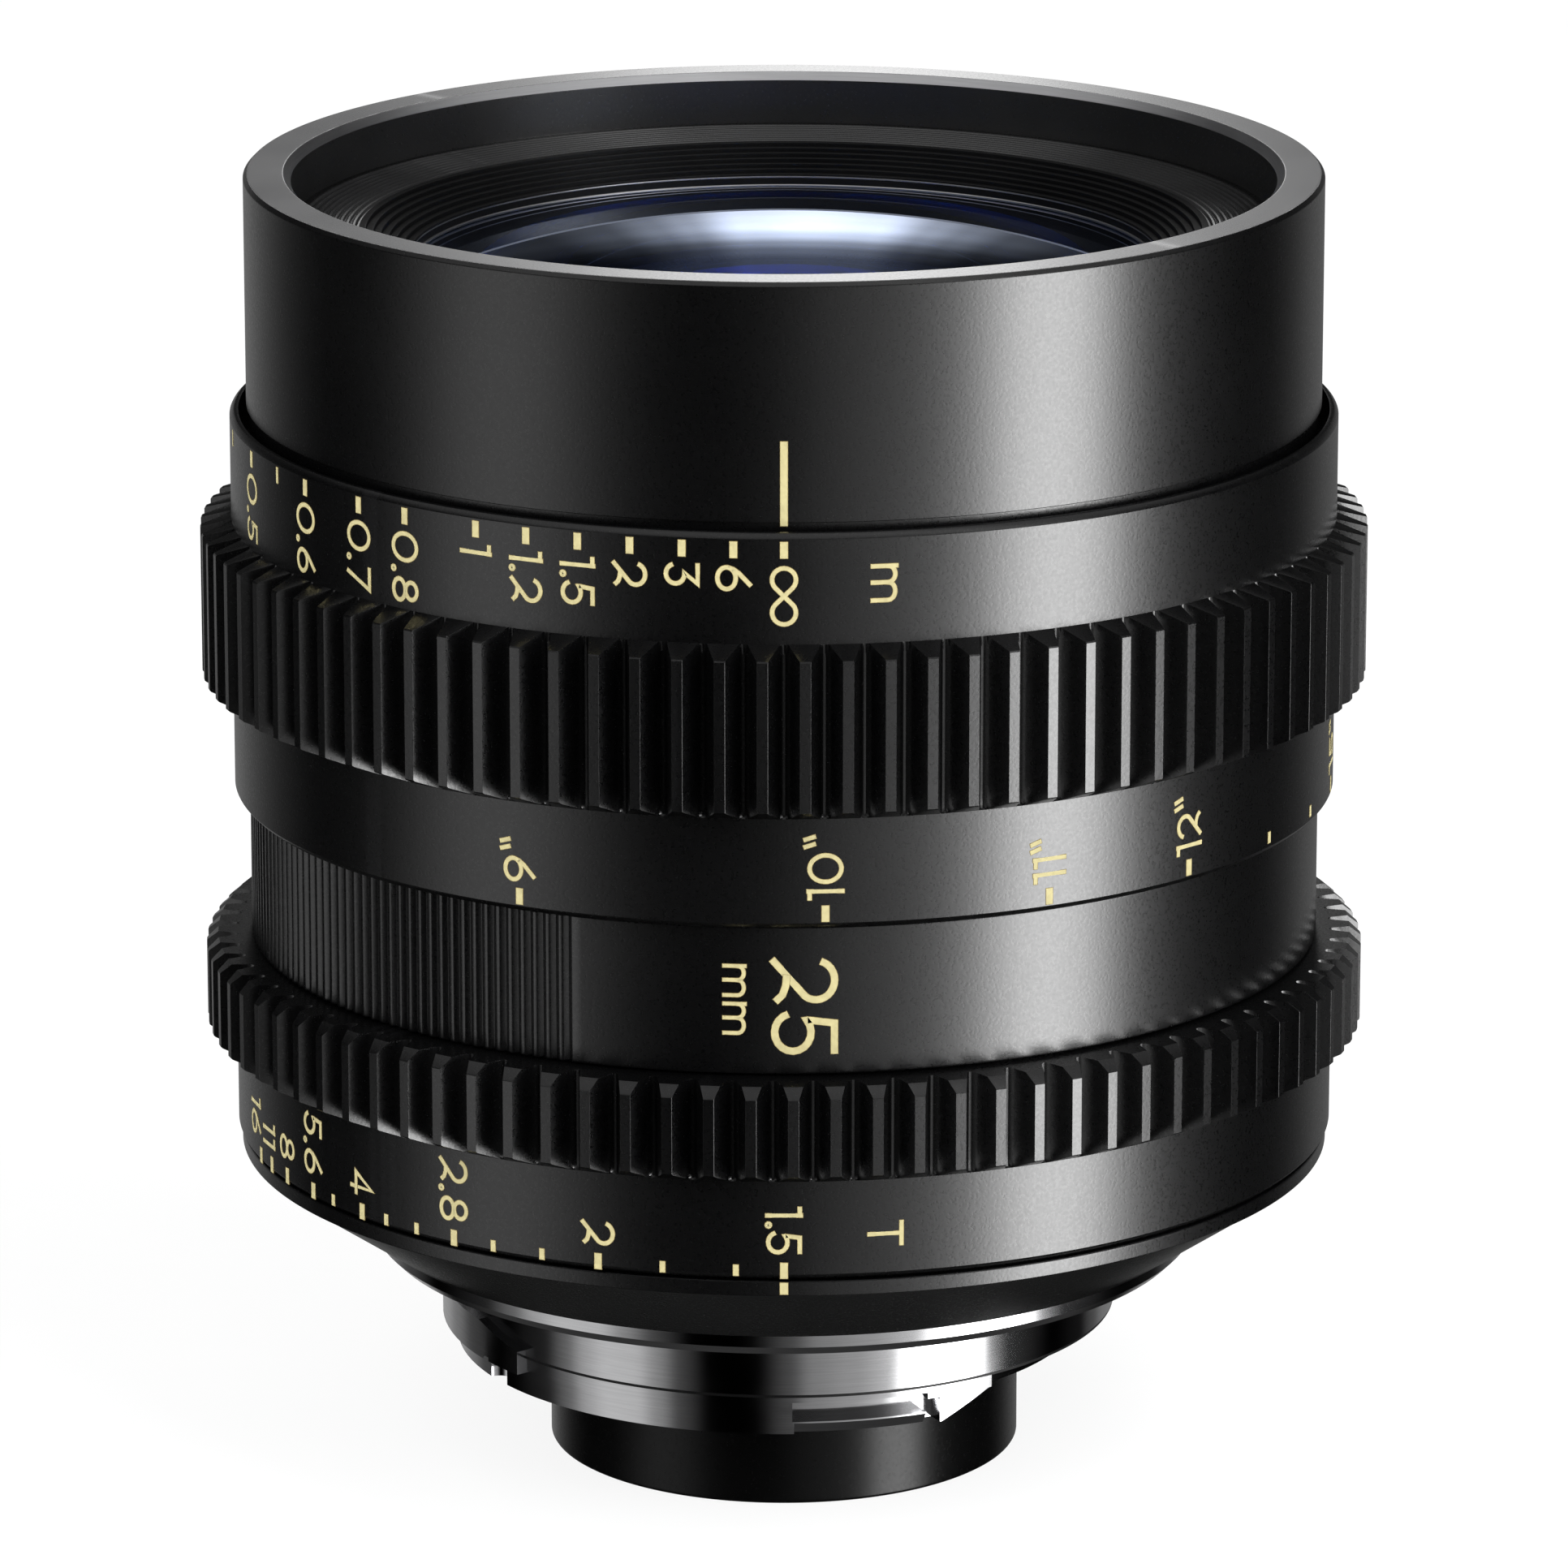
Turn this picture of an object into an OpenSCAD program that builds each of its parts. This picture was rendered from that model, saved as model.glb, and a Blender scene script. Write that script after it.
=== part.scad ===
// Cinema prime lens with a rangefinder-type bayonet, standing on its rear end.
// Millimetres. Origin: flange plane on the optical axis. +Z: towards the front of the lens.
// Azimuths are counted from the scale index (front, -Y), positive towards +X.

/* [Front] */
// Edge radius of the front glass
front_glass_r = 25.5; // [24:0.1:27]
// Radius of curvature of the front surface
front_curve_r = 105; // [80:1:160]
// Wall of the front cell around the front glass
front_cell_wall = 4.88; // [4.4:0.01:5.6]
// Step from the cell bore up to the filter thread
filter_step = 0.4; // [0.3:0.05:0.8]
// Wall of the front barrel at the filter thread
front_wall = 3.0; // [2.6:0.1:4]
// Depth of the filter thread below its chamfer
filter_depth = 2.85; // [2.5:0.05:4]
// Chamfer at the mouth of the filter thread
rim_chamfer = 0.5; // [0.3:0.05:0.8]
// Chamfer on the outer edge of the rim
rim_edge = 0.25; // [0.1:0.05:0.5]
// Length of front barrel seen in front of the focus ring
front_len = 15.0; // [13:0.1:20]
// Width of the ridged baffle ring
baffle_w = 3.78; // [3.2:0.02:4.4]
// Height of the baffle ring at its outer edge
baffle_h = 1.85; // [1.5:0.05:2.4]
// Fall of the baffle ring towards the glass
baffle_fall = 0.35; // [0.2:0.05:0.6]
// Ridges on the baffle ring
baffle_ridges = 9; // [5:1:14]
// Clear radius inside the front retainer
front_clear_r = 23.4; // [22.8:0.1:24]
// Steps on the front retainer's cone
retainer_steps = 7; // [4:1:10]
// Thickness of the retainer's bright inner lip
retainer_lip = 0.6; // [0.4:0.05:1]

/* [Focus ring] */
// Gap between the front barrel and the focus ring's lip
lip_gap = 0.5; // [0.4:0.05:0.8]
// Wall of the focus ring's lip
lip_wall = 0.55; // [0.45:0.05:0.9]
// Wall of the focus ring at the helicoid
focus_wall = 0.95; // [0.8:0.05:1.4]
// Height of the lower scale band
focus_low_h = 6.85; // [5:0.05:9]
// Height of the follow-focus gear
focus_gear_h = 10.8; // [8:0.1:13]
// Height of the upper scale band
focus_up_h = 6.8; // [5:0.1:9]
// Edge chamfer of the rings
ring_chamfer = 0.3; // [0.1:0.05:0.5]
// Wall of the helicoid ring
helicoid_wall = 2.3; // [1.8:0.1:2.8]
// Height of the helicoid ring
helicoid_h = 10; // [8.5:0.1:11]
// Height of the fixed bearing inside the focus ring
bearing_h = 8.1; // [7.2:0.1:8.6]
// Wall of the fixed bearing sleeve
bearing_wall = 2.6; // [2.2:0.1:3]
// How far the retaining ring laps over the focus ring's shoulder
retainer_lap = 0.4; // [0.3:0.05:0.6]
// Height of the focus retaining ring
focus_retainer_h = 2.0; // [1.5:0.1:2.4]
// Focus throw, infinity to the closest distance
focus_throw = 220; // [90:5:270]
// Lead of the helicoid per turn
helicoid_lead = 5.4; // [2:0.1:6]

/* [Gears] */
// Module of both gears
gear_module = 0.8; // [0.7:0.05:0.9]
// Width of a tooth at its crest
tooth_crest = 0.65; // [0.5:0.05:0.8]
// Fall of the tooth ends towards the crest
tooth_end = 0.62; // [0.3:0.01:1]
// Fall of the lower tooth ends
tooth_foot = 0.83; // [0.4:0.01:1.2]
// Width of the bevel at the top of the iris gear's teeth
tooth_nose = 0.74; // [0.4:0.02:1]
// Azimuth of a tooth of the focus gear
focus_tooth_az = 2; // [0:0.1:4]
// Azimuth of a tooth of the iris gear
iris_tooth_az = 0.9; // [0:0.1:4]

/* [Mid barrel and iris ring] */
// Shoulder of the mid barrel under the focus ring
mid_shoulder = 0.7; // [0.5:0.05:1]
// Height of the mid barrel
mid_h = 9.25; // [7.5:0.05:12]
// Wall of the mid barrel's skirt over the rear sleeve
mid_skirt = 1.48; // [1.2:0.02:1.6]
// Height of the skirt over the rear sleeve
mid_skirt_h = 4.95; // [4:0.05:6]
// Pitch of the ribs of the grip, in degrees
rib_pitch = 1.47; // [1.2:0.01:2]
// Depth of the grooves between the ribs
rib_depth = 0.22; // [0.1:0.01:0.3]
// First and last azimuth of the ribbed grip
grip_az = [-158, -22];
// Wall of the iris ring
iris_wall = 2.48; // [2.2:0.02:3]
// Height of the aperture scale band
iris_band_h = 6.25; // [5:0.05:8]
// Height of the iris gear
iris_gear_h = 6.35; // [5:0.05:8]
// Turn of the iris ring, open to closed
iris_throw = 71; // [45:1:80]
// Height of the fixed index ring
index_h = 0.97; // [0.7:0.01:1.5]
// Step from the iris ring in to the index ring
index_step = 0.23; // [0.1:0.01:0.4]

/* [Rear barrel and mount] */
// Height of the rear cone
cone_h = 5.2; // [4.6:0.1:7]
// Step from the index ring in to the cone
cone_step = 0.2; // [0.1:0.05:0.4]
// Wall of the cone's floor
cone_floor = 3.5; // [3:0.1:4]
// Radius of the chromed flange
flange_r = 26.4; // [25.8:0.1:27.2]
// Thickness of the flange
flange_t = 1.5; // [1.3:0.1:2]
// Chamfer on the flange's rear edge
flange_chamfer = 0.6; // [0.3:0.05:0.8]
// Radius of the bayonet neck
neck_r = 21.3; // [20.8:0.05:21.6]
// Length of the bayonet neck
neck_len = 4.25; // [3.5:0.05:5]
// Radius over the bayonet lugs
lug_r = 22.0; // [21.7:0.05:22.4]
// Length of the stepped ring behind the neck
tail_len = 2.65; // [2.4:0.05:3.4]
// Number of mount screws
mount_screw_n = 6; // [4:1:8]
// Radius of the rear shroud
shroud_r = 15.05; // [14.5:0.05:15.5]
// Wall of the rear shroud
shroud_wall = 0.75; // [0.6:0.05:0.9]
// How far the rear shroud stands behind the stepped ring
shroud_len = 6.75; // [5:0.05:9]

/* [Optics and iris] */
// Edge radius of the second glass
second_glass_r = 20; // [18.5:0.1:21.5]
// Edge radius of the third glass
third_glass_r = 16; // [14.5:0.1:17.2]
// Edge radius of the fourth glass
fourth_glass_r = 11; // [10.4:0.1:11.8]
// Edge radius of the two rear glasses
rear_glass_r = 12; // [11.4:0.1:12.6]
// Radius of the iris opening, fully open
iris_open_r = 8.4; // [7.6:0.1:8.8]
// Radius of the iris opening, fully closed
iris_closed_r = 0.8; // [0.6:0.1:2]
// Radius of the circle of blade pivots
pivot_circle_r = 17.2; // [16.8:0.1:18]
// Width of an iris blade
blade_w = 4.3; // [3.8:0.1:4.5]
// Thickness of an iris blade
blade_t = 0.12; // [0.08:0.01:0.15]
// Length of a blade's drive arm
blade_arm = 6.0; // [5.6:0.1:6.4]
// Radius of a blade's pins
blade_pin_r = 0.4; // [0.3:0.05:0.45]
// Thickness of the iris drive ring
drive_ring_t = 1.0; // [0.8:0.1:1.2]
// Radius of the upright iris drive pin
drive_pin_r = 1.0; // [0.8:0.05:1.2]

/* [Clearances] */
// Radial clearance of running fits
run_fit = 0.05; // [0.02:0.01:0.1]
// Radial clearance of fixed seats
seat_fit = 0.02; // [0.01:0.01:0.05]
// Gap between rings that turn against each other
ring_gap = 0.15; // [0.1:0.01:0.3]
// Free space between parts that pass each other
air = 0.4; // [0.3:0.05:0.6]

/* [Hidden] */
$fn = 96;
BLADES = 9;

// Colours
BLACK = [0.06, 0.06, 0.065];
GREY = [0.22, 0.22, 0.23];
CHROME = [0.82, 0.82, 0.84];
BRASS = [0.78, 0.6, 0.3];
STEEL = [0.55, 0.55, 0.57];
GLASS = [0.45, 0.6, 0.85, 0.5];

// Overlap of cutting solids past a face
cut = 1;

// Radii from the front glass out to the focus ring
front_bore_r = front_glass_r + seat_fit + front_cell_wall;
filter_r = front_bore_r + filter_step;
front_r = filter_r + front_wall;
lip_r = front_r + lip_gap;
focus_r = lip_r + lip_wall;

// Radii from the focus ring in to the guides
helicoid_seat_r = focus_r - focus_wall;
helicoid_ledge = 0.15;
relief_r = helicoid_seat_r - helicoid_ledge;
focus_retainer_gap = 0.1;
focus_retainer_r = relief_r - focus_retainer_gap;
focus_bore_r = focus_retainer_r - retainer_lap;
bearing_r = focus_bore_r - run_fit;
retainer_thread_step = 0.6;
retainer_thread_r = bearing_r - retainer_thread_step;
barrel_bore_r = bearing_r - bearing_wall;
helicoid_bore_r = helicoid_seat_r - helicoid_wall;
carrier_r = helicoid_bore_r - run_fit;
guide_gap = 0.7;
guide_r = barrel_bore_r - guide_gap;
carrier_wall = 2.3;
carrier_bore_r = guide_r - carrier_wall;

// Radii of the mid barrel, iris ring and cone
mid_r = bearing_r + mid_shoulder;
sleeve_r = mid_r - mid_skirt - seat_fit;
iris_bore_r = sleeve_r + run_fit;
iris_r = iris_bore_r + iris_wall;
index_r = iris_r - index_step;
cone_r = index_r - cone_step;
cone_foot = 0.5;
cone_foot_r = flange_r + cone_foot;

// Heights of the outside, from the flange plane up
cone_z = flange_t;
index_z = cone_z + cone_h;
iris_z = index_z + index_h + ring_gap;
iris_gear_z = iris_z + iris_band_h;
iris_top = iris_gear_z + iris_gear_h;
mid_z = iris_top + ring_gap;
mid_top = mid_z + mid_h;
focus_z = mid_top + ring_gap;
focus_gear_z = focus_z + focus_low_h;
focus_up_z = focus_gear_z + focus_gear_h;
focus_top = focus_up_z + focus_up_h;
rim_z = focus_top + front_len;

// Travel of the optics over the whole focus throw
travel = helicoid_lead * focus_throw / 360;

// Heights inside the focus ring
sleeve_top = mid_z + mid_skirt_h;
bearing_top = mid_top + bearing_h;
focus_shoulder_z = bearing_top - run_fit;
barrel_top = bearing_top + focus_retainer_h;
skirt_dip = 2.4;
skirt_z = focus_top - skirt_dip;
helicoid_clear = 1.0;
helicoid_top = skirt_z - helicoid_clear;
helicoid_z = helicoid_top - helicoid_h;
lip_z = skirt_z - air;
thread_clear = 0.6;
carrier_thread_z = barrel_top + thread_clear;
register_h = 3.0;
register_drop = 0.2;
carrier_top = skirt_z + register_h;
register_step = 0.05;
register_r = carrier_r - register_step;

// Heights of the front group
filter_z = rim_z - rim_chamfer - filter_depth;
baffle_z = filter_z - baffle_h;
baffle_in_r = front_bore_r - baffle_w;
baffle_in_z = filter_z - baffle_fall;
glass_recess = 0.15;
front_vertex_z = filter_z - glass_recess;
function sag(curve, r) = curve - sqrt(curve * curve - r * r);
front_edge_z = front_vertex_z - sag(front_curve_r, front_glass_r);
retainer_touch = 0.04;
retainer_z = front_vertex_z - sag(front_curve_r, front_clear_r) + retainer_touch;
retainer_r = baffle_in_r - seat_fit;
front_edge_t = 4.25;
front_seat_z = front_edge_z - front_edge_t;
cell_flange_t = 2.0;
cell_neck_gap = 1.4;
front_spacer_h = 3.5;
second_edge_t = 5.0;
second_top = front_seat_z - front_spacer_h;
second_seat_z = second_top - second_edge_t;
middle_spacer_h = 4.5;
third_edge_t = 5.5;
third_top = second_seat_z - middle_spacer_h;
third_seat_z = third_top - third_edge_t;
cell_shelf = 2.5;
cell_wall = 2.6;
cell_foot = 3.0;
front_cell_z = third_seat_z - cell_foot;
pilot_h = 3.5;

// Heights of the iris, hung under the carrier's plate
plate_t = 3.0;
plate_bore_step = 4;
plate_bore_r = iris_open_r + plate_bore_step;
plate_clear = 3.0;
plate_z = front_cell_z - plate_clear - plate_t;
arm_drop = travel + air;
drive_ring_top = plate_z - arm_drop;
drive_ring_z = drive_ring_top - drive_ring_t;
layer_gap = 0.08;
layer = blade_t + layer_gap;
stack_gap = 0.2;
blade_top = drive_ring_z - stack_gap;
blade_z = blade_top - BLADES * layer;
iris_floor_z = blade_z - stack_gap;
iris_floor_t = 1.5;
pivot_depth = 1;
housing_z = iris_floor_z - iris_floor_t;
iris_cover_t = 1.0;
cover_rim = 1.5;
cover_z = drive_ring_top + stack_gap;

// Radii of the iris
blade_hide = 0.2;
blade_in_r = iris_open_r + blade_hide;
blade_out_r = blade_in_r + blade_w;
blade_turn = 2 * asin((blade_in_r - iris_closed_r) / (2 * pivot_circle_r));
blade_start = 4;
blade_span = 100;
arm_az = -130;
drive_rim = 2.1;
drive_ring_r = pivot_circle_r + drive_rim;
drive_ring_gap = 0.3;
housing_bore_r = drive_ring_r + drive_ring_gap;
housing_wall = 1.4;
housing_r = housing_bore_r + housing_wall;
drive_pin_gap = 1.0;
drive_skin = 0.7;
drive_circle_r = housing_r + drive_pin_gap + drive_pin_r;
drive_az = 110;
drive_pin_lift = 3.94;
drive_pin_foot_z = iris_z + drive_pin_lift;
drive_pin_clear = 0.3;
drive_pin_top = plate_z - drive_pin_clear;
ear_r = 1.9;
ear_reach = 1.6;
ear_circle_r = housing_r + ear_reach;
ear_t = 1.5;
ear_azs = [60, -60, -140];

// Rear group, hung under the iris housing
rear_cell_flange_t = 2.0;
rear_flange_inset = 0.2;
rear_cell_flange_r = pivot_circle_r - rear_flange_inset;
rear_cell_r = shroud_r - shroud_wall - air;
shroud_z = -neck_len - tail_len - shroud_len;
rear_cell_top = housing_z;
rear_recess = 1.05;
rear_cell_z = shroud_z + rear_recess;
fourth_edge_t = 6.0;
fourth_seat_drop = 8.6;
fourth_seat_z = rear_cell_top - fourth_seat_drop;
shelf_t = 4.0;
fifth_top = fourth_seat_z - shelf_t;
fifth_edge_t = 6.0;
rear_spacer_h = 6.0;
rear_edge_t = 6.0;
fifth_z = fifth_top - fifth_edge_t;
rear_top = fifth_z - rear_spacer_h;
rear_z = rear_top - rear_edge_t;
rear_retainer_h = 2.5;
rear_shelf = 1.5;
spacer_wall = 1.4;
glass_margin = 0.1;

// Radii of curvature of the inner faces
front_hollow_r = 34;
second_front_r = 60;
second_back_r = 45;
third_front_r = 45;
third_back_r = 60;
fourth_front_r = 40;
fourth_back_r = 30;
fifth_front_r = 40;
fifth_back_r = 40;
rear_front_r = 60;
rear_back_r = 50;

// Mount
spigot_step = 1.2;
spigot_r = neck_r + spigot_step;
spigot_h = 2.0;
screw_circle_r = (spigot_r + flange_r - flange_chamfer) / 2;
groove_h = 0.2;
groove_depth = 0.4;
groove_r = neck_r - groove_depth;
collar_step = 0.1;
collar_r = neck_r - collar_step;
collar_z = -neck_len - groove_h;
collar_h = 0.8;
tail_step = 0.15;
tail_r = collar_r - tail_step;
tail_z = collar_z - collar_h;
mount_end = -neck_len - tail_len;
lug_spans = [[99.5, 140], [168, 205], [233, 310]];
lug_drop = 0.1;
lug_low_z = tail_z - lug_drop;
lug_rise = 1.55;
lug_top_z = collar_z + lug_rise;
lug_tip_drop = 0.95;
lug_tip_z = lug_top_z - lug_tip_drop;
lug_ramp = 12;
notch_az = -59.3;
notch_r = 1.0;
notch_rise = 0.15;
notch_top_z = tail_z + notch_rise;
recess_span = [1.4, 25.2];
recess_depth = 1.2;
recess_r = tail_r - recess_depth;
recess_top_drop = 0.35;
recess_top_z = collar_z - recess_top_drop;
recess_h = 1.3;
recess_floor_z = recess_top_z - recess_h;
slot_span = [25, 27.7];
slot_rise = 1.7;
slot_top_z = mount_end + slot_rise;
bevel_span = [1.7, 26];
bevel_drop = 0.1;
bevel_z = recess_floor_z - bevel_drop;
bevel_in = 0.45;
open_span = [38, 99];
open_ramp_az = 28;
open_ramp = 24;
mount_bore_gap = 0.95;
mount_bore_r = shroud_r + mount_bore_gap;
ledge_wall = 2.0;
ledge_r = tail_r - ledge_wall;
ledge_lift = 0.5;
ledge_z = tail_z + ledge_lift;
shroud_plate_t = 1.2;
shroud_screw_r = (mount_bore_r + ledge_r) / 2;

// Fasteners
screw_r = 0.8;
screw_head_r = 1.5;
screw_sink = 0.75;
small_screw_r = 0.6;
small_head_r = 1.1;
small_head_h = 0.8;
tiny_screw_r = 0.4;
tiny_head_r = 0.75;
tiny_head_h = 0.4;
hole_floor = 0.3;
screw_end_gap = 0.2;
head_sink = 0.05;
driver_w = 0.36;
driver_depth = 0.35;
shroud_screw_len = 2;
shroud_screw_azs = [60, 180, 300];
rear_screw_bite = 1;
rear_screw_azs = [110, 230, 350];
key_w = 4.0;
key_depth = 1.5;
key_len = 11.0;
key_azs = [30, 150, -90];
stop_az = 180;
stop_r = 0.9;
stop_lift = 3.9;
stop_z = focus_z + stop_lift;
stop_depth = 0.95;
stop_clear = 0.25;
stop_skin = 0.6;
head_screw_azs = [90, -30, -150];
head_screw_r = 0.7;
scotch_r = 0.6;
scotch_h = 3.0;
scotch_azs = [45, 135, 225, 315];
pin_sink = 0.1;
rib_half = 0.3;
key_lift = 1.5;
key_z = sleeve_top + key_lift;
key_screw_lift = 4;
key_mid_z = mid_top + key_screw_lift;
key_in_r = guide_r - key_depth;
key_skin = 0.4;
key_head_seat = 1.1;
skirt_step = 0.2;
skirt_r = front_r - skirt_step;
head_screw_lift = 1.4;
head_screw_z = skirt_z + head_screw_lift;
head_screw_bite = 1.8;
head_screw_sink = 0.2;
fork_wall = 1.2;
arm_w = 2 * (drive_pin_r + fork_wall);

// Teeth and slots
dedendum = 1.25;
root_sink = 0.15;
root_share = 0.8;
slot_steps = 16;
function polar(r, a) = [r * cos(a), r * sin(a)];
function half_angle(w, r) = asin(w / 2 / r);
slot_margin = half_angle(2 * (drive_pin_r + air), barrel_bore_r);

// A ring turned from a closed outline of [radius, height] points
module turned(points) {
    rotate_extrude() polygon(points);
}

// A plain ring
module ring(r_out, r_in, z0, z1) {
    turned([[r_in, z0], [r_out, z0], [r_out, z1], [r_in, z1]]);
}

// Part of a plain ring between two azimuths
module arc_ring(r_out, r_in, z0, z1, az0, az1) {
    rotate([0, 0, az0 - 90]) rotate_extrude(angle = az1 - az0)
        translate([r_in, z0]) square([r_out - r_in, z1 - z0]);
}

// Places what lies along +X at an azimuth
module at_az(az) {
    rotate([0, 0, az - 90]) children();
}

// A cylinder along the radius, between two radii
module radial_rod(r, r_in, r_out, z) {
    translate([r_in, 0, z]) rotate([0, 90, 0]) cylinder(r = r, h = r_out - r_in);
}

// An upright cylinder between two heights
module rod(r, z0, z1) {
    translate([0, 0, z0]) cylinder(r = r, h = z1 - z0);
}

// Outline of one gear tooth, from root to crest and back
function tooth_count(band_r) = ceil(2 * (band_r / gear_module + dedendum));
function tip_r(band_r) = gear_module * (tooth_count(band_r) + 2) / 2;
function gear_points(band_r, tooth_az) =
    let (n = tooth_count(band_r), tip = tip_r(band_r), pitch = tip - gear_module,
         root = band_r - root_sink, step = 360 / n,
         a_tip = half_angle(tooth_crest, tip),
         a_pitch = half_angle(PI * gear_module / 2, pitch),
         a_root = half_angle(PI * gear_module * root_share, root))
    [for (i = [0:n - 1], p = [[root, -a_root], [pitch, -a_pitch], [tip, -a_tip],
                              [tip, a_tip], [pitch, a_pitch], [root, a_root]])
        polar(p[0], i * step + tooth_az - 90 + p[1])];

// A toothed band with sloping tooth ends, bored out
module gear_band(band_r, bore_r, z0, z1, tooth_az, top_flat) {
    tip = tip_r(band_r);
    root = band_r - root_sink;
    ledge = top_flat ? tip - tooth_nose : band_r;
    difference() {
        intersection() {
            translate([0, 0, z0]) linear_extrude(z1 - z0) polygon(gear_points(band_r, tooth_az));
            turned([[0, z0], [root, z0], [band_r, z0], [tip, z0 + tooth_foot],
                    [tip, z1 - tooth_end], [ledge, z1], [0, z1]]);
        }
        rod(bore_r, z0 - cut, z1 + cut);
    }
}

// A glass: an edge cylinder with a convex (curve > 0) or hollow (curve < 0) face at each end.
// Each face reaches out to its own clear radius, inside the seat that holds the glass.
function centre_drop(curve, clear_r) = sqrt(curve * curve - clear_r * clear_r);
module glass(r, z0, z1, front_curve, front_clear, back_curve, back_clear) {
    color(GLASS) difference() {
        union() {
            rod(r, z0, z1);
            if (front_curve > 0) intersection() {
                translate([0, 0, z1 - centre_drop(front_curve, front_clear)]) sphere(front_curve);
                rod(front_clear, (z0 + z1) / 2, z1 + front_curve);
            }
            if (back_curve > 0) intersection() {
                translate([0, 0, z0 + centre_drop(back_curve, back_clear)]) sphere(back_curve);
                rod(back_clear, z0 - back_curve, (z0 + z1) / 2);
            }
        }
        if (front_curve < 0)
            translate([0, 0, z1 + centre_drop(front_curve, front_clear)]) sphere(-front_curve);
        if (back_curve < 0)
            translate([0, 0, z0 - centre_drop(back_curve, back_clear)]) sphere(-back_curve);
    }
}

module rear_barrel() {
    color(BLACK) difference() {
        turned([[spigot_r + seat_fit, cone_z], [cone_foot_r, cone_z], [cone_r, index_z],
                [sleeve_r, index_z], [sleeve_r, sleeve_top], [barrel_bore_r, sleeve_top],
                [barrel_bore_r, cone_z + cone_floor], [spigot_r + seat_fit, cone_z + cone_floor]]);
        mount_screw_places() rod(screw_r + seat_fit, cone_z - cut, cone_z + cone_floor - hole_floor);
        arc_ring(sleeve_r + cut, barrel_bore_r - cut, drive_pin_foot_z - drive_pin_r - air,
                 drive_pin_foot_z + drive_pin_r + air, drive_az - slot_margin,
                 drive_az + iris_throw + slot_margin);
    }
}

module index_ring() {
    color(BLACK) ring(index_r, sleeve_r + seat_fit, index_z, index_z + index_h);
}

module mount_screw_places() {
    for (i = [0:mount_screw_n - 1]) at_az((i + 0.5) * 360 / mount_screw_n)
        translate([screw_circle_r, 0, 0]) children();
}

module mount_screws() {
    color(STEEL) mount_screw_places() difference() {
        union() {
            rod(screw_r, screw_sink, cone_z + cone_floor - hole_floor - screw_end_gap);
            translate([0, 0, head_sink])
                cylinder(r1 = screw_head_r, r2 = screw_r, h = screw_sink - head_sink);
        }
        translate([-screw_head_r, -driver_w / 2, 0]) cube([2 * screw_head_r, driver_w, driver_depth]);
    }
}

module bayonet_mount() {
    color(CHROME) difference() {
        union() {
            turned([[mount_bore_r, mount_end], [tail_r, mount_end], [tail_r, tail_z], [collar_r, tail_z],
                    [collar_r, collar_z], [groove_r, collar_z], [groove_r, -neck_len], [neck_r, -neck_len],
                    [neck_r, 0], [flange_r - flange_chamfer, 0], [flange_r, flange_chamfer],
                    [flange_r, flange_t], [spigot_r, flange_t], [spigot_r, flange_t + spigot_h],
                    [mount_bore_r, flange_t + spigot_h]]);
            for (span = lug_spans) lug(span[0], span[1]);
        }
        rod(ledge_r, mount_end - cut, ledge_z);
        at_az(notch_az) translate([tail_r, 0, 0]) rod(notch_r, mount_end - cut, notch_top_z);
        arc_ring(lug_r, recess_r, recess_floor_z, recess_top_z, recess_span[0], recess_span[1]);
        arc_ring(lug_r, recess_r, mount_end - cut, slot_top_z, slot_span[0], slot_span[1]);
        recess_bevel();
        mount_opening();
        mount_screw_places() rod(screw_r + seat_fit, -cut, flange_t + cut);
        mount_screw_places() cylinder(r1 = screw_head_r + head_sink, r2 = screw_r, h = screw_sink);
        shroud_screw_places()
            rod(tiny_screw_r + seat_fit, ledge_z - cut, ledge_z + shroud_screw_len + screw_end_gap);
    }
}

// A bayonet lug with a lead-in ramp at its far end
module lug(az0, az1) {
    difference() {
        arc_ring(lug_r, groove_r - cut, lug_low_z, lug_top_z, az0, az1);
        at_az(az1) translate([0, 0, lug_tip_z]) rotate([-lug_ramp, 0, 0])
            translate([0, -lug_r, 0]) cube([lug_r + cut, lug_r + lug_rise, lug_r]);
    }
}

// Bevel below the recess in the stepped ring
module recess_bevel() {
    rotate([0, 0, bevel_span[0] - 90]) rotate_extrude(angle = bevel_span[1] - bevel_span[0])
        polygon([[tail_r, bevel_z], [lug_r, bevel_z], [lug_r, mount_end - cut],
                 [tail_r - bevel_in, mount_end - cut], [tail_r - bevel_in, mount_end]]);
}

// Where the stepped ring is open, with a slope down to it
module mount_opening() {
    arc_ring(lug_r + cut, ledge_r - cut, mount_end - cut, collar_z, open_span[0], open_span[1]);
    at_az(open_ramp_az) translate([ledge_r - lug_rise, 0, mount_end]) rotate([open_ramp, 0, 0])
        translate([0, 0, -tail_len]) cube([lug_r - ledge_r + lug_rise, 2 * tail_len, tail_len]);
}

module shroud_screw_places() {
    for (az = shroud_screw_azs) at_az(az) translate([shroud_screw_r, 0, 0]) children();
}

module rear_shroud() {
    plate_low = ledge_z - shroud_plate_t;
    color(BLACK) difference() {
        turned([[shroud_r - shroud_wall, shroud_z], [shroud_r, shroud_z], [shroud_r, plate_low],
                [ledge_r - seat_fit, plate_low], [ledge_r - seat_fit, ledge_z],
                [shroud_r - shroud_wall, ledge_z]]);
        shroud_screw_places() rod(tiny_screw_r + seat_fit, plate_low - cut, ledge_z + cut);
    }
}

module shroud_screws() {
    plate_low = ledge_z - shroud_plate_t;
    color(STEEL) shroud_screw_places() {
        rod(tiny_screw_r, plate_low, ledge_z + shroud_screw_len);
        rod(tiny_head_r, plate_low - tiny_head_h, plate_low);
    }
}

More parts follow.
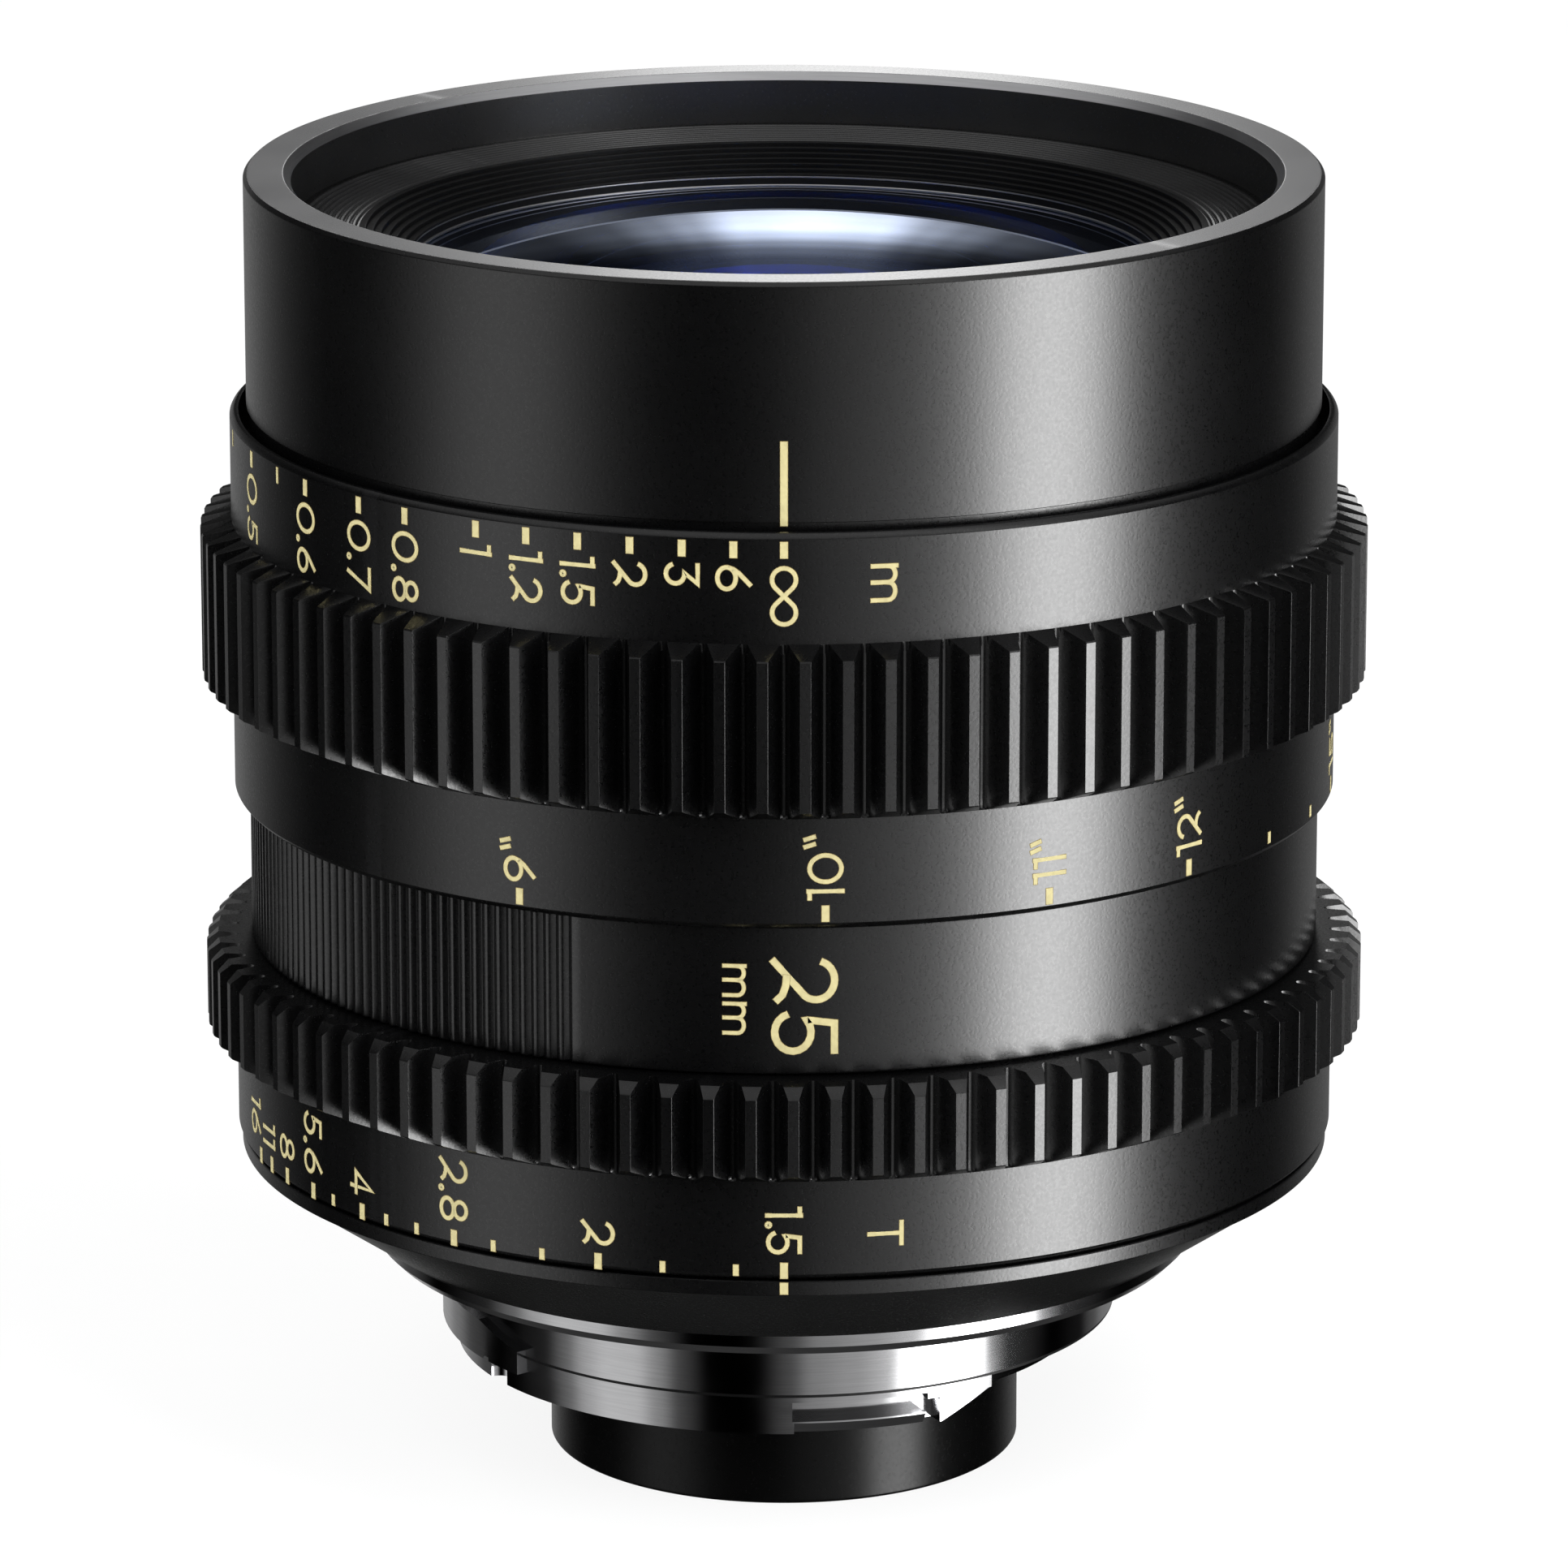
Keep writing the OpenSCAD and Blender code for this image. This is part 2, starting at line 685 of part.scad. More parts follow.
module mid_barrel() {
    color(BLACK) difference() {
        turned([[sleeve_r + seat_fit, mid_z], [mid_r, mid_z], [mid_r, mid_top], [bearing_r, mid_top],
                [bearing_r, bearing_top], [retainer_thread_r, bearing_top],
                [retainer_thread_r, barrel_top], [barrel_bore_r, barrel_top],
                [barrel_bore_r, sleeve_top], [sleeve_r + seat_fit, sleeve_top]]);
        for (az = [grip_az[0]:rib_pitch:grip_az[1]])
            at_az(az) translate([mid_r, 0, mid_z - cut]) linear_extrude(mid_h + cut)
                polygon([[cut, -rib_half], [0, -rib_half], [-rib_depth, 0], [0, rib_half], [cut, rib_half]]);
        for (az = key_azs) at_az(az) {
            radial_rod(small_screw_r + seat_fit, barrel_bore_r - cut, bearing_r + cut, key_mid_z);
            radial_rod(small_head_r + seat_fit, bearing_r - key_head_seat, bearing_r + cut, key_mid_z);
        }
        at_az(stop_az) radial_rod(stop_r + seat_fit, barrel_bore_r + stop_skin, bearing_r + cut, stop_z);
    }
}

module focus_retainer() {
    color(STEEL) ring(focus_retainer_r, retainer_thread_r + seat_fit, bearing_top, barrel_top);
}

module guide_keys() {
    color(BRASS) for (az = key_azs) at_az(az) difference() {
        intersection() {
            translate([key_in_r, -key_w / 2, key_z]) cube([key_w + key_depth, key_w, key_len]);
            rod(barrel_bore_r - seat_fit, key_z, key_z + key_len);
        }
        radial_rod(small_screw_r + seat_fit, key_in_r + key_skin, barrel_bore_r + cut, key_mid_z);
    }
}

module key_screws() {
    color(STEEL) for (az = key_azs) at_az(az) {
        radial_rod(small_screw_r, key_in_r + key_skin + screw_end_gap, bearing_r - key_head_seat, key_mid_z);
        radial_rod(small_head_r, bearing_r - key_head_seat, bearing_r - key_head_seat + small_head_h,
                   key_mid_z);
    }
}

module focus_stop_pin() {
    color(STEEL) at_az(stop_az)
        radial_rod(stop_r, barrel_bore_r + stop_skin, focus_bore_r + stop_depth - stop_clear, stop_z);
}

module focus_ring() {
    stop_margin = half_angle(2 * (stop_r + air), bearing_r);
    color(BLACK) difference() {
        union() {
            turned([[focus_bore_r, focus_z], [focus_r - ring_chamfer, focus_z],
                    [focus_r, focus_z + ring_chamfer], [focus_r, focus_gear_z],
                    [focus_bore_r, focus_gear_z]]);
            gear_band(focus_r, focus_bore_r, focus_gear_z, focus_up_z, focus_tooth_az, false);
            turned([[focus_bore_r, focus_up_z], [focus_r, focus_up_z],
                    [focus_r, focus_top - ring_chamfer],
                    [focus_r - ring_chamfer, focus_top], [focus_bore_r, focus_top]]);
        }
        rod(relief_r, focus_shoulder_z, helicoid_z + cut);
        rod(helicoid_seat_r, helicoid_z, lip_z + cut);
        rod(lip_r, lip_z, focus_top + cut);
        arc_ring(focus_bore_r + stop_depth, focus_bore_r - cut, stop_z - stop_r - air,
                 stop_z + stop_r + air, stop_az - focus_throw - stop_margin, stop_az + stop_margin);
        scotch_places() rod(scotch_r + seat_fit, helicoid_top - scotch_h, helicoid_top + cut);
    }
}

module scotch_places() {
    for (az = scotch_azs) at_az(az)
        translate([helicoid_seat_r - seat_fit / 2, 0, 0]) children();
}

module helicoid_ring() {
    color(BRASS) difference() {
        ring(helicoid_seat_r - seat_fit, helicoid_bore_r, helicoid_z, helicoid_top);
        scotch_places() rod(scotch_r + seat_fit, helicoid_top - scotch_h, helicoid_top + cut);
    }
}

module helicoid_pins() {
    color(STEEL) scotch_places() rod(scotch_r, helicoid_top - scotch_h, helicoid_top - pin_sink);
}

module front_barrel() {
    clear_z = focus_top + air;
    color(BLACK) difference() {
        turned([[register_r + seat_fit, skirt_z], [skirt_r, skirt_z], [skirt_r, clear_z],
                [front_r, clear_z], [front_r, rim_z - rim_edge], [front_r - rim_edge, rim_z],
                [filter_r + rim_chamfer, rim_z], [filter_r, rim_z - rim_chamfer],
                [filter_r, filter_z], [front_bore_r, filter_z], [front_bore_r, carrier_top],
                [register_r + seat_fit, carrier_top]]);
        for (az = head_screw_azs) at_az(az)
            radial_rod(head_screw_r + seat_fit, carrier_r - cut, front_r + cut, head_screw_z);
    }
}

module front_baffle() {
    step = baffle_w / baffle_ridges;
    fall = baffle_fall / baffle_ridges;
    ridge_h = 0.16;
    peak = [0.02, ridge_h];
    valley = [0.6, 0];
    color(GREY) turned(concat(
        [[baffle_in_r, baffle_z], [front_bore_r - seat_fit, baffle_z]],
        [for (i = [0:baffle_ridges - 1], p = [peak, valley])
            [front_bore_r - seat_fit - step * (i + p[0]), filter_z - fall * (i + p[0]) - ridge_h + p[1]]],
        [[baffle_in_r, baffle_in_z - ridge_h]]));
}

module front_retainer() {
    lip_z0 = retainer_z + retainer_lip;
    step_r = (retainer_r - front_clear_r) / retainer_steps;
    step_z = (baffle_in_z - lip_z0) / retainer_steps;
    color(BLACK) turned(concat(
        [[front_clear_r, retainer_z], [retainer_r, retainer_z], [retainer_r, baffle_in_z]],
        [for (i = [0:retainer_steps - 1], p = [[1, 0], [1, 1]])
            [retainer_r - step_r * (i + p[0]), baffle_in_z - step_z * (i + p[1])]]));
}

module lens_carrier() {
    color(GREY) difference() {
        turned([[plate_bore_r, plate_z], [guide_r, plate_z], [guide_r, carrier_thread_z],
                [carrier_r, carrier_thread_z], [carrier_r, skirt_z - register_drop],
                [register_r, skirt_z - register_drop],
                [register_r, carrier_top], [carrier_bore_r, carrier_top],
                [carrier_bore_r, plate_z + plate_t], [plate_bore_r, plate_z + plate_t]]);
        for (az = key_azs) at_az(az)
            translate([guide_r - key_depth - run_fit, -key_w / 2 - run_fit, plate_z - cut])
                cube([key_w, key_w + 2 * run_fit, carrier_thread_z - plate_z + cut]);
        for (az = head_screw_azs) at_az(az)
            radial_rod(head_screw_r + seat_fit, carrier_r - head_screw_bite - screw_end_gap, carrier_r + cut,
                       head_screw_z);
        iris_ear_places() rod(small_screw_r + seat_fit, plate_z - cut, plate_z + plate_t - hole_floor);
    }
}

module head_screws() {
    color(STEEL) for (az = head_screw_azs) at_az(az)
        radial_rod(head_screw_r, carrier_r - head_screw_bite, skirt_r - head_screw_sink, head_screw_z);
}

module front_cell() {
    neck_cell_r = front_bore_r - cell_neck_gap;
    low_r = second_glass_r + cell_wall;
    pilot_r = carrier_bore_r - seat_fit;
    color(BLACK) turned([
        [third_glass_r - cell_shelf, front_cell_z], [low_r, front_cell_z], [low_r, carrier_top - pilot_h],
        [pilot_r, carrier_top - pilot_h], [pilot_r, carrier_top],
        [front_bore_r - seat_fit, carrier_top], [front_bore_r - seat_fit, carrier_top + cell_flange_t],
        [neck_cell_r, carrier_top + cell_flange_t], [neck_cell_r, baffle_z],
        [baffle_in_r, baffle_z], [baffle_in_r, retainer_z], [front_glass_r + seat_fit, retainer_z],
        [front_glass_r + seat_fit, front_seat_z], [second_glass_r + seat_fit, front_seat_z],
        [second_glass_r + seat_fit, second_seat_z], [third_glass_r + seat_fit, second_seat_z],
        [third_glass_r + seat_fit, third_seat_z], [third_glass_r - cell_shelf, third_seat_z]]);
}

module front_element() {
    glass(front_glass_r, front_seat_z, front_edge_z, front_curve_r, front_glass_r,
          -front_hollow_r, second_glass_r - spacer_wall - glass_margin);
}

module front_spacer() {
    color(BLACK) ring(second_glass_r - seat_fit, second_glass_r - spacer_wall, second_top, front_seat_z);
}

module second_element() {
    glass(second_glass_r, second_seat_z, second_top, -second_front_r,
          second_glass_r - spacer_wall - glass_margin, -second_back_r,
          third_glass_r - spacer_wall - glass_margin);
}

module middle_spacer() {
    color(BLACK) ring(third_glass_r - seat_fit, third_glass_r - spacer_wall, third_top, second_seat_z);
}

module third_element() {
    glass(third_glass_r, third_seat_z, third_top, third_front_r, third_glass_r - spacer_wall - glass_margin,
          third_back_r, third_glass_r - cell_shelf - glass_margin);
}

module iris_ear_places() {
    for (az = ear_azs) at_az(az) translate([ear_circle_r, 0, 0]) children();
}

module iris_housing() {
    arm_margin = half_angle(2 * (arm_w / 2 + air), housing_bore_r);
    color(BLACK) difference() {
        union() {
            ring(housing_r, housing_bore_r - cut, housing_z, plate_z);
            ring(housing_bore_r, iris_open_r, housing_z, iris_floor_z);
            iris_ear_places() rod(ear_r, plate_z - ear_t, plate_z);
        }
        rod(housing_bore_r, iris_floor_z, plate_z + cut);
        arc_ring(housing_r + cut, housing_bore_r - cut, drive_ring_z - stack_gap,
                 drive_ring_top + stack_gap, drive_az - arm_margin, drive_az + iris_throw + arm_margin);
        for (k = [0:BLADES - 1]) blade_place(k)
            translate([pivot_circle_r, 0, 0])
                rod(blade_pin_r + run_fit, iris_floor_z - pivot_depth, iris_floor_z + cut);
        iris_ear_places() rod(small_screw_r + seat_fit, plate_z - ear_t - cut, plate_z + cut);
        rear_screw_places()
            rod(small_screw_r + seat_fit, housing_z - cut, housing_z + rear_screw_bite + screw_end_gap);
    }
}

module iris_cover() {
    cover_r = housing_bore_r - seat_fit;
    cover_rim_r = cover_r - cover_rim;
    color(BLACK) turned([[iris_open_r, cover_z], [cover_r, cover_z], [cover_r, plate_z],
                         [cover_rim_r, plate_z], [cover_rim_r, cover_z + iris_cover_t],
                         [iris_open_r, cover_z + iris_cover_t]]);
}

module iris_screws() {
    color(STEEL) iris_ear_places() {
        rod(small_screw_r, plate_z - ear_t, plate_z + plate_t - hole_floor - screw_end_gap);
        rod(small_head_r, plate_z - ear_t - small_head_h, plate_z - ear_t);
    }
}

module rear_screw_places() {
    for (az = rear_screw_azs) at_az(az)
        translate([(rear_cell_r + rear_cell_flange_r) / 2, 0, 0]) children();
}

module rear_cell() {
    color(BLACK) difference() {
        turned([[rear_glass_r + seat_fit, rear_cell_z], [rear_cell_r, rear_cell_z],
                [rear_cell_r, rear_cell_top - rear_cell_flange_t],
                [rear_cell_flange_r, rear_cell_top - rear_cell_flange_t],
                [rear_cell_flange_r, rear_cell_top], [fourth_glass_r + seat_fit, rear_cell_top],
                [fourth_glass_r + seat_fit, fourth_seat_z], [fourth_glass_r - rear_shelf, fourth_seat_z],
                [fourth_glass_r - rear_shelf, fifth_top], [rear_glass_r + seat_fit, fifth_top]]);
        rear_screw_places()
            rod(small_screw_r + seat_fit, rear_cell_top - rear_cell_flange_t - cut, rear_cell_top + cut);
    }
}

module rear_cell_screws() {
    color(STEEL) rear_screw_places() {
        rod(small_screw_r, rear_cell_top - rear_cell_flange_t, rear_cell_top + rear_screw_bite);
        rod(small_head_r, rear_cell_top - rear_cell_flange_t - small_head_h,
            rear_cell_top - rear_cell_flange_t);
    }
}

module fourth_element() {
    glass(fourth_glass_r, fourth_seat_z, fourth_seat_z + fourth_edge_t, -fourth_front_r,
          fourth_glass_r - rear_shelf - glass_margin, fourth_back_r,
          fourth_glass_r - rear_shelf - glass_margin);
}

module iris_side_retainer() {
    color(BLACK) ring(fourth_glass_r - seat_fit, fourth_glass_r - rear_shelf,
                      fourth_seat_z + fourth_edge_t, rear_cell_top);
}

module fifth_element() {
    glass(rear_glass_r, fifth_z, fifth_top, fifth_front_r, fourth_glass_r - rear_shelf - glass_margin,
          fifth_back_r, rear_glass_r - spacer_wall - glass_margin);
}

module rear_spacer() {
    color(BLACK) ring(rear_glass_r - seat_fit, rear_glass_r - spacer_wall, rear_top, fifth_z);
}

module rear_element() {
    glass(rear_glass_r, rear_z, rear_top, rear_front_r, rear_glass_r - spacer_wall - glass_margin,
          -rear_back_r, rear_glass_r - spacer_wall - glass_margin);
}

module rear_retainer() {
    color(BLACK) ring(rear_glass_r - seat_fit, rear_glass_r - spacer_wall, rear_z - rear_retainer_h, rear_z);
}

module iris_ring() {
    color(BLACK) difference() {
        union() {
            turned([[iris_bore_r, iris_z], [iris_r - ring_chamfer, iris_z],
                    [iris_r, iris_z + ring_chamfer], [iris_r, iris_gear_z], [iris_bore_r, iris_gear_z]]);
            gear_band(iris_r, iris_bore_r, iris_gear_z, iris_top, iris_tooth_az, true);
        }
        at_az(drive_az)
            radial_rod(drive_pin_r + seat_fit, iris_bore_r - cut, iris_r - drive_skin, drive_pin_foot_z);
    }
}

module iris_drive_pin() {
    color(STEEL) at_az(drive_az) {
        radial_rod(drive_pin_r, drive_circle_r, iris_r - drive_skin - screw_end_gap, drive_pin_foot_z);
        translate([drive_circle_r, 0, 0]) rod(drive_pin_r, drive_pin_foot_z - drive_pin_r, drive_pin_top);
    }
}

// Path of a blade's drive pin, seen from the drive ring, as it turns by share t of the throw
function pin_point(t) =
    let (p = [pivot_circle_r, 0] + polar(blade_arm, arm_az + blade_turn * t), a = -iris_throw * t)
    [p[0] * cos(a) - p[1] * sin(a), p[0] * sin(a) + p[1] * cos(a)];
function unit(v) = v / norm(v);
function side(v, w) = [-v[1], v[0]] * w;
function slot_edge(w) = [for (i = [0:slot_steps])
    let (t = i / slot_steps, d = 0.01)
    pin_point(t) + side(unit(pin_point(t + d) - pin_point(t - d)), w)];
function reversed(v) = [for (i = [len(v) - 1:-1:0]) v[i]];

module iris_drive_ring() {
    slot_r = blade_pin_r + run_fit;
    color(STEEL) difference() {
        union() {
            ring(drive_ring_r, blade_in_r, drive_ring_z, drive_ring_top);
            at_az(drive_az) translate([drive_ring_r - cut, -arm_w / 2, drive_ring_z])
                cube([drive_circle_r + drive_pin_r - drive_ring_r + cut, arm_w, drive_ring_t]);
        }
        at_az(drive_az) {
            translate([drive_circle_r, 0, 0])
                rod(drive_pin_r + run_fit, drive_ring_z - cut, drive_ring_top + cut);
            translate([drive_circle_r, -drive_pin_r - run_fit, drive_ring_z - cut])
                cube([2 * drive_pin_r + cut, 2 * (drive_pin_r + run_fit), drive_ring_t + 2 * cut]);
        }
        for (k = [0:BLADES - 1]) blade_place(k) {
            translate([0, 0, drive_ring_z - cut]) linear_extrude(drive_ring_t + 2 * cut)
                polygon(concat(slot_edge(slot_r), reversed(slot_edge(-slot_r))));
            for (t = [0, 1]) translate(pin_point(t)) rod(slot_r, drive_ring_z - cut, drive_ring_top + cut);
        }
    }
}

module blade_place(k) {
    rotate([0, 0, k * 360 / BLADES]) children();
}

// One blade: crescent, ear with pivot pin, and arm with drive pin, on its own layer
module blade(k) {
    z = blade_z + k * layer;
    ear_w = 1.5;
    arm_half = 0.8;
    ear_bite = 0.9;
    reach = 2 * pivot_circle_r;
    color(STEEL) blade_place(k) {
        translate([0, 0, z]) linear_extrude(blade_t) union() {
            intersection() {
                difference() {
                    circle(blade_out_r);
                    circle(blade_in_r);
                }
                polygon([[0, 0], for (a = [-blade_start, blade_span / 2, blade_span]) polar(reach, a)]);
            }
            polygon([[blade_out_r - ear_bite, -ear_bite], [pivot_circle_r, -ear_w], [pivot_circle_r, ear_w],
                     [blade_out_r - ear_bite, 2 * ear_w]]);
            translate([pivot_circle_r, 0]) {
                circle(ear_w);
                rotate(arm_az) translate([0, -arm_half]) square([blade_arm, 2 * arm_half]);
                rotate(arm_az) translate([blade_arm, 0]) circle(arm_half);
            }
        }
        translate([pivot_circle_r, 0, 0])
            rod(blade_pin_r, iris_floor_z - pivot_depth + pin_sink, z + blade_t / 2);
        translate(concat([pivot_circle_r, 0] + polar(blade_arm, arm_az), 0))
            rod(blade_pin_r, z + blade_t / 2, drive_ring_top - pin_sink);
    }
}

rear_barrel();
index_ring();
bayonet_mount();
mount_screws();
rear_shroud();
shroud_screws();
mid_barrel();
focus_retainer();
guide_keys();
key_screws();
focus_stop_pin();
focus_ring();
helicoid_ring();
helicoid_pins();
front_barrel();
front_baffle();
front_retainer();
lens_carrier();
head_screws();
front_cell();
front_element();
front_spacer();
second_element();
middle_spacer();
third_element();
iris_housing();
iris_cover();
iris_screws();
rear_cell();
rear_cell_screws();
fourth_element();
iris_side_retainer();
fifth_element();
rear_spacer();
rear_element();
rear_retainer();
iris_ring();
iris_drive_pin();
iris_drive_ring();
blade(0);  // blade_1
blade(1);  // blade_2
blade(2);  // blade_3
blade(3);  // blade_4
blade(4);  // blade_5
blade(5);  // blade_6
blade(6);  // blade_7
blade(7);  // blade_8
blade(8);  // blade_9
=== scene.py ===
"""Looks of a cinema prime lens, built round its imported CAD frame."""
import math

import bmesh
import bpy
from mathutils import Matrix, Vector


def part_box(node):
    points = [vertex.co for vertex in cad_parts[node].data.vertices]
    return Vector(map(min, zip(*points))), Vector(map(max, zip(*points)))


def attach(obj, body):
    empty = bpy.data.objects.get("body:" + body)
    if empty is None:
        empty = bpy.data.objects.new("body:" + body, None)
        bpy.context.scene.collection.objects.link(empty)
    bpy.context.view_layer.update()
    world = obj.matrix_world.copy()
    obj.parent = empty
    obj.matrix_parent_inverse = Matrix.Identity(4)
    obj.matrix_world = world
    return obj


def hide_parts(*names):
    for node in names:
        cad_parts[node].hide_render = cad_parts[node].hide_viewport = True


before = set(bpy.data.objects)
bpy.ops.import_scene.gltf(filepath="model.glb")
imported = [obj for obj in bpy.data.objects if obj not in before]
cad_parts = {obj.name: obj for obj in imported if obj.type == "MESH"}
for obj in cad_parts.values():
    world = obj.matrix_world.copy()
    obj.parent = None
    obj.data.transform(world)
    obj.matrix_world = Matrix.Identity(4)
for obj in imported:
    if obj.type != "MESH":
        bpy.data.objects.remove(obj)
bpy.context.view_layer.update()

# Lengths below are in millimetres, heights are above the mount's flange plane,
# azimuths are in degrees from the front index, positive to the right of it.
MM = 0.001
SEGMENTS = 360
LENS_SEGMENTS = 180
LENS_STEPS = 28
CORNER_STEPS = 4
CORNER_ROOM = 0.4
CORNER_GUARD = 0.1
MERGE_DISTANCE = 1e-8
SHARP_ANGLE = 30.0
GEAR_SHARP_ANGLE = 25
WIRE_SHARP_ANGLE = 80
FIT = 0.02


def node_box(name):
    """Lowest and highest corner of a CAD node, in millimetres."""
    low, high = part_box(name)
    return low / MM, high / MM


FRONT_LOW, FRONT_HIGH = node_box("front_barrel")
FOCUS_LOW, FOCUS_HIGH = node_box("focus_ring")
MID_LOW, MID_HIGH = node_box("mid_barrel")
IRIS_LOW, IRIS_HIGH = node_box("iris_ring")
INDEX_LOW, INDEX_HIGH = node_box("index_ring")
SHROUD_LOW, SHROUD_HIGH = node_box("rear_shroud")

# Heights
RIM_Z = FRONT_HIGH.z
SKIRT_Z = FRONT_LOW.z
FOCUS_TOP = FOCUS_HIGH.z
FOCUS_Z = FOCUS_LOW.z
FOCUS_GEAR_Z = FOCUS_Z + 6.85
FOCUS_UP_Z = FOCUS_GEAR_Z + 10.8
MID_Z = MID_LOW.z
MID_TOP = FOCUS_Z - 0.15
BARREL_TOP = MID_HIGH.z
BEARING_TOP = BARREL_TOP - 2.0
SLEEVE_TOP = MID_Z + 4.95
IRIS_Z = IRIS_LOW.z
IRIS_GEAR_Z = IRIS_Z + 6.25
IRIS_TOP = IRIS_HIGH.z
INDEX_Z = INDEX_LOW.z
INDEX_TOP = INDEX_HIGH.z
FILTER_Z = RIM_Z - 3.35
CARRIER_TOP = SKIRT_Z + 3.0
LIP_Z = SKIRT_Z - 0.4
HELICOID_Z = SKIRT_Z - 11.0
STOP_Z = FOCUS_Z + 3.9
STOP_HALF_H = 1.3
GROOVE_TOP_Z = -4.25
GROOVE_LOW_Z = -4.45
RIM_BEVEL = 0.25
THREAD_LEAD = 0.5
BAFFLE_H = 1.85
BAFFLE_FALL = 0.35
BAND_GUARD = 0.1

# Radii
FRONT_R = FRONT_HIGH.x
SKIRT_R = FRONT_R - 0.2
FILTER_R = FRONT_R - 3.0
FRONT_BORE_R = FILTER_R - 0.4
REGISTER_R = 31.52
LIP_R = FRONT_R + 0.5
FOCUS_R = 34.85
HELICOID_SEAT_R = 33.9
RELIEF_R = 33.75
FOCUS_BORE_R = 33.25
MID_R = MID_HIGH.x
BEARING_R = 33.2
RETAINER_THREAD_R = 32.6
BARREL_BORE_R = 30.6
SLEEVE_R = 32.42
IRIS_BORE_R = 32.45
IRIS_R = 34.93
INDEX_R = INDEX_HIGH.x
BAFFLE_IN_R = 26.62
BAFFLE_W = 3.78
CLEAR_R = 23.4
GROOVE_FOOT_R = 20.9
GROOVE_SHADE_R = 21.24
SHROUD_R = 15.05
SHROUD_WALL = 0.75

# Gear teeth
TEETH = 90
TIP_R = 36.8
TOOTH_PITCH_R = 36.0
TOOTH_CREST = 0.65
TOOTH_PITCH_W = 1.2566
TOOTH_ROOT_W = 2.0106
ROOT_SINK = 0.15
TOOTH_END = 0.62
TOOTH_FOOT = 0.83
TOOTH_NOSE = 0.74
TOOTH_NICK = 0.006
TOOTH_FILLET = 0.2
NOSE_CUT = 0.06
NOSE_UP = 0.05
NOSE_DOWN = 0.04
SCOOP_H = 0.5
SCOOP_STEPS = 8
FOCUS_TOOTH_AZ = 2.0
IRIS_TOOTH_AZ = 0.9

# Rounded edge of a ring: distances inward and along the axis
RING_EDGE = ((0.34, 0.0), (0.28, 0.04), (0.04, 0.28), (0.0, 0.36), (0.0, 0.46))


def at(r, az, z):
    """Point at a radius, azimuth and height."""
    angle = math.radians(az)
    return (r * math.sin(angle), -r * math.cos(angle), z)


def loft(rows, closed=True):
    """Vertices and faces of a skin over rings of equally many points."""
    count = len(rows[0])
    verts = [point for row in rows for point in row]
    faces = []
    for i in range(len(rows) if closed else len(rows) - 1):
        a = i * count
        b = (i + 1) % len(rows) * count
        for j in range(count):
            k = (j + 1) % count
            faces.append((a + j, b + j, b + k, a + k))
    return verts, faces


def rounded(points):
    """Closed outline of (radius, height, corner radius) points with its corners rounded."""
    outline = []
    count = len(points)
    for i, (r, z, corner) in enumerate(points):
        here = Vector((r, z))
        if corner <= 0:
            outline.append(here)
            continue
        before = Vector(points[i - 1][:2]) - here
        after = Vector(points[(i + 1) % count][:2]) - here
        room = CORNER_ROOM * min(before.length, after.length)
        before.normalize()
        after.normalize()
        half = before.angle(after) / 2
        cut = min(corner / math.tan(half), room)
        centre = here + (before + after).normalized() * (cut / math.cos(half))
        start = here + before * cut - centre
        end = here + after * cut - centre
        guard = min(cut, CORNER_GUARD)
        outline.append(here + before * (cut + guard))
        for step in range(CORNER_STEPS + 1):
            share = step / CORNER_STEPS
            spoke = start.lerp(end, share)
            outline.append(centre + spoke.normalized() * start.length)
        outline.append(here + after * (cut + guard))
    return outline


def add_piece(name, shape, material, body, nodes=(), sharp=SHARP_ANGLE):
    """Makes a mesh object from (vertices, faces) and ties it to its body."""
    verts, faces = shape
    mesh = bpy.data.meshes.new(name)
    mesh.from_pydata([tuple(c * MM for c in v) for v in verts], [], faces)
    work = bmesh.new()
    work.from_mesh(mesh)
    bmesh.ops.remove_doubles(work, verts=work.verts, dist=MERGE_DISTANCE)
    bmesh.ops.recalc_face_normals(work, faces=work.faces)
    work.to_mesh(mesh)
    work.free()
    mesh.shade_smooth()
    mesh.set_sharp_from_angle(angle=math.radians(sharp))
    mesh.materials.append(material)
    piece = bpy.data.objects.new(name, mesh)
    bpy.context.scene.collection.objects.link(piece)
    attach(piece, body)
    if nodes:
        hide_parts(*nodes)
    return piece


def turned(outline, segments=SEGMENTS, closed=True):
    """Skin turned from (radius, height) points, a ring if they close."""
    rows = []
    for r, z in outline:
        rows.append([at(r, 360 * j / segments, z) for j in range(segments)])
    return loft(rows, closed)


# Materials
def new_material(name):
    """An empty node material with its tree and shader."""
    material = bpy.data.materials.new(name)
    material.use_nodes = True
    tree = material.node_tree
    return material, tree, tree.nodes["Principled BSDF"]


def add_node(tree, kind, **values):
    """A shader node with some of its input values set by name."""
    node = tree.nodes.new(kind)
    for key, value in values.items():
        node.inputs[key.replace("_", " ")].default_value = value
    return node


def object_noise(tree, scale, detail=2.0, stretch=(1, 1, 1)):
    """A noise texture in the piece's own coordinates."""
    place = tree.nodes.new("ShaderNodeTexCoord")
    mapping = tree.nodes.new("ShaderNodeMapping")
    mapping.inputs["Scale"].default_value = stretch
    noise = add_node(tree, "ShaderNodeTexNoise", Scale=scale, Detail=detail)
    tree.links.new(place.outputs["Object"], mapping.inputs["Vector"])
    tree.links.new(mapping.outputs["Vector"], noise.inputs["Vector"])
    return noise


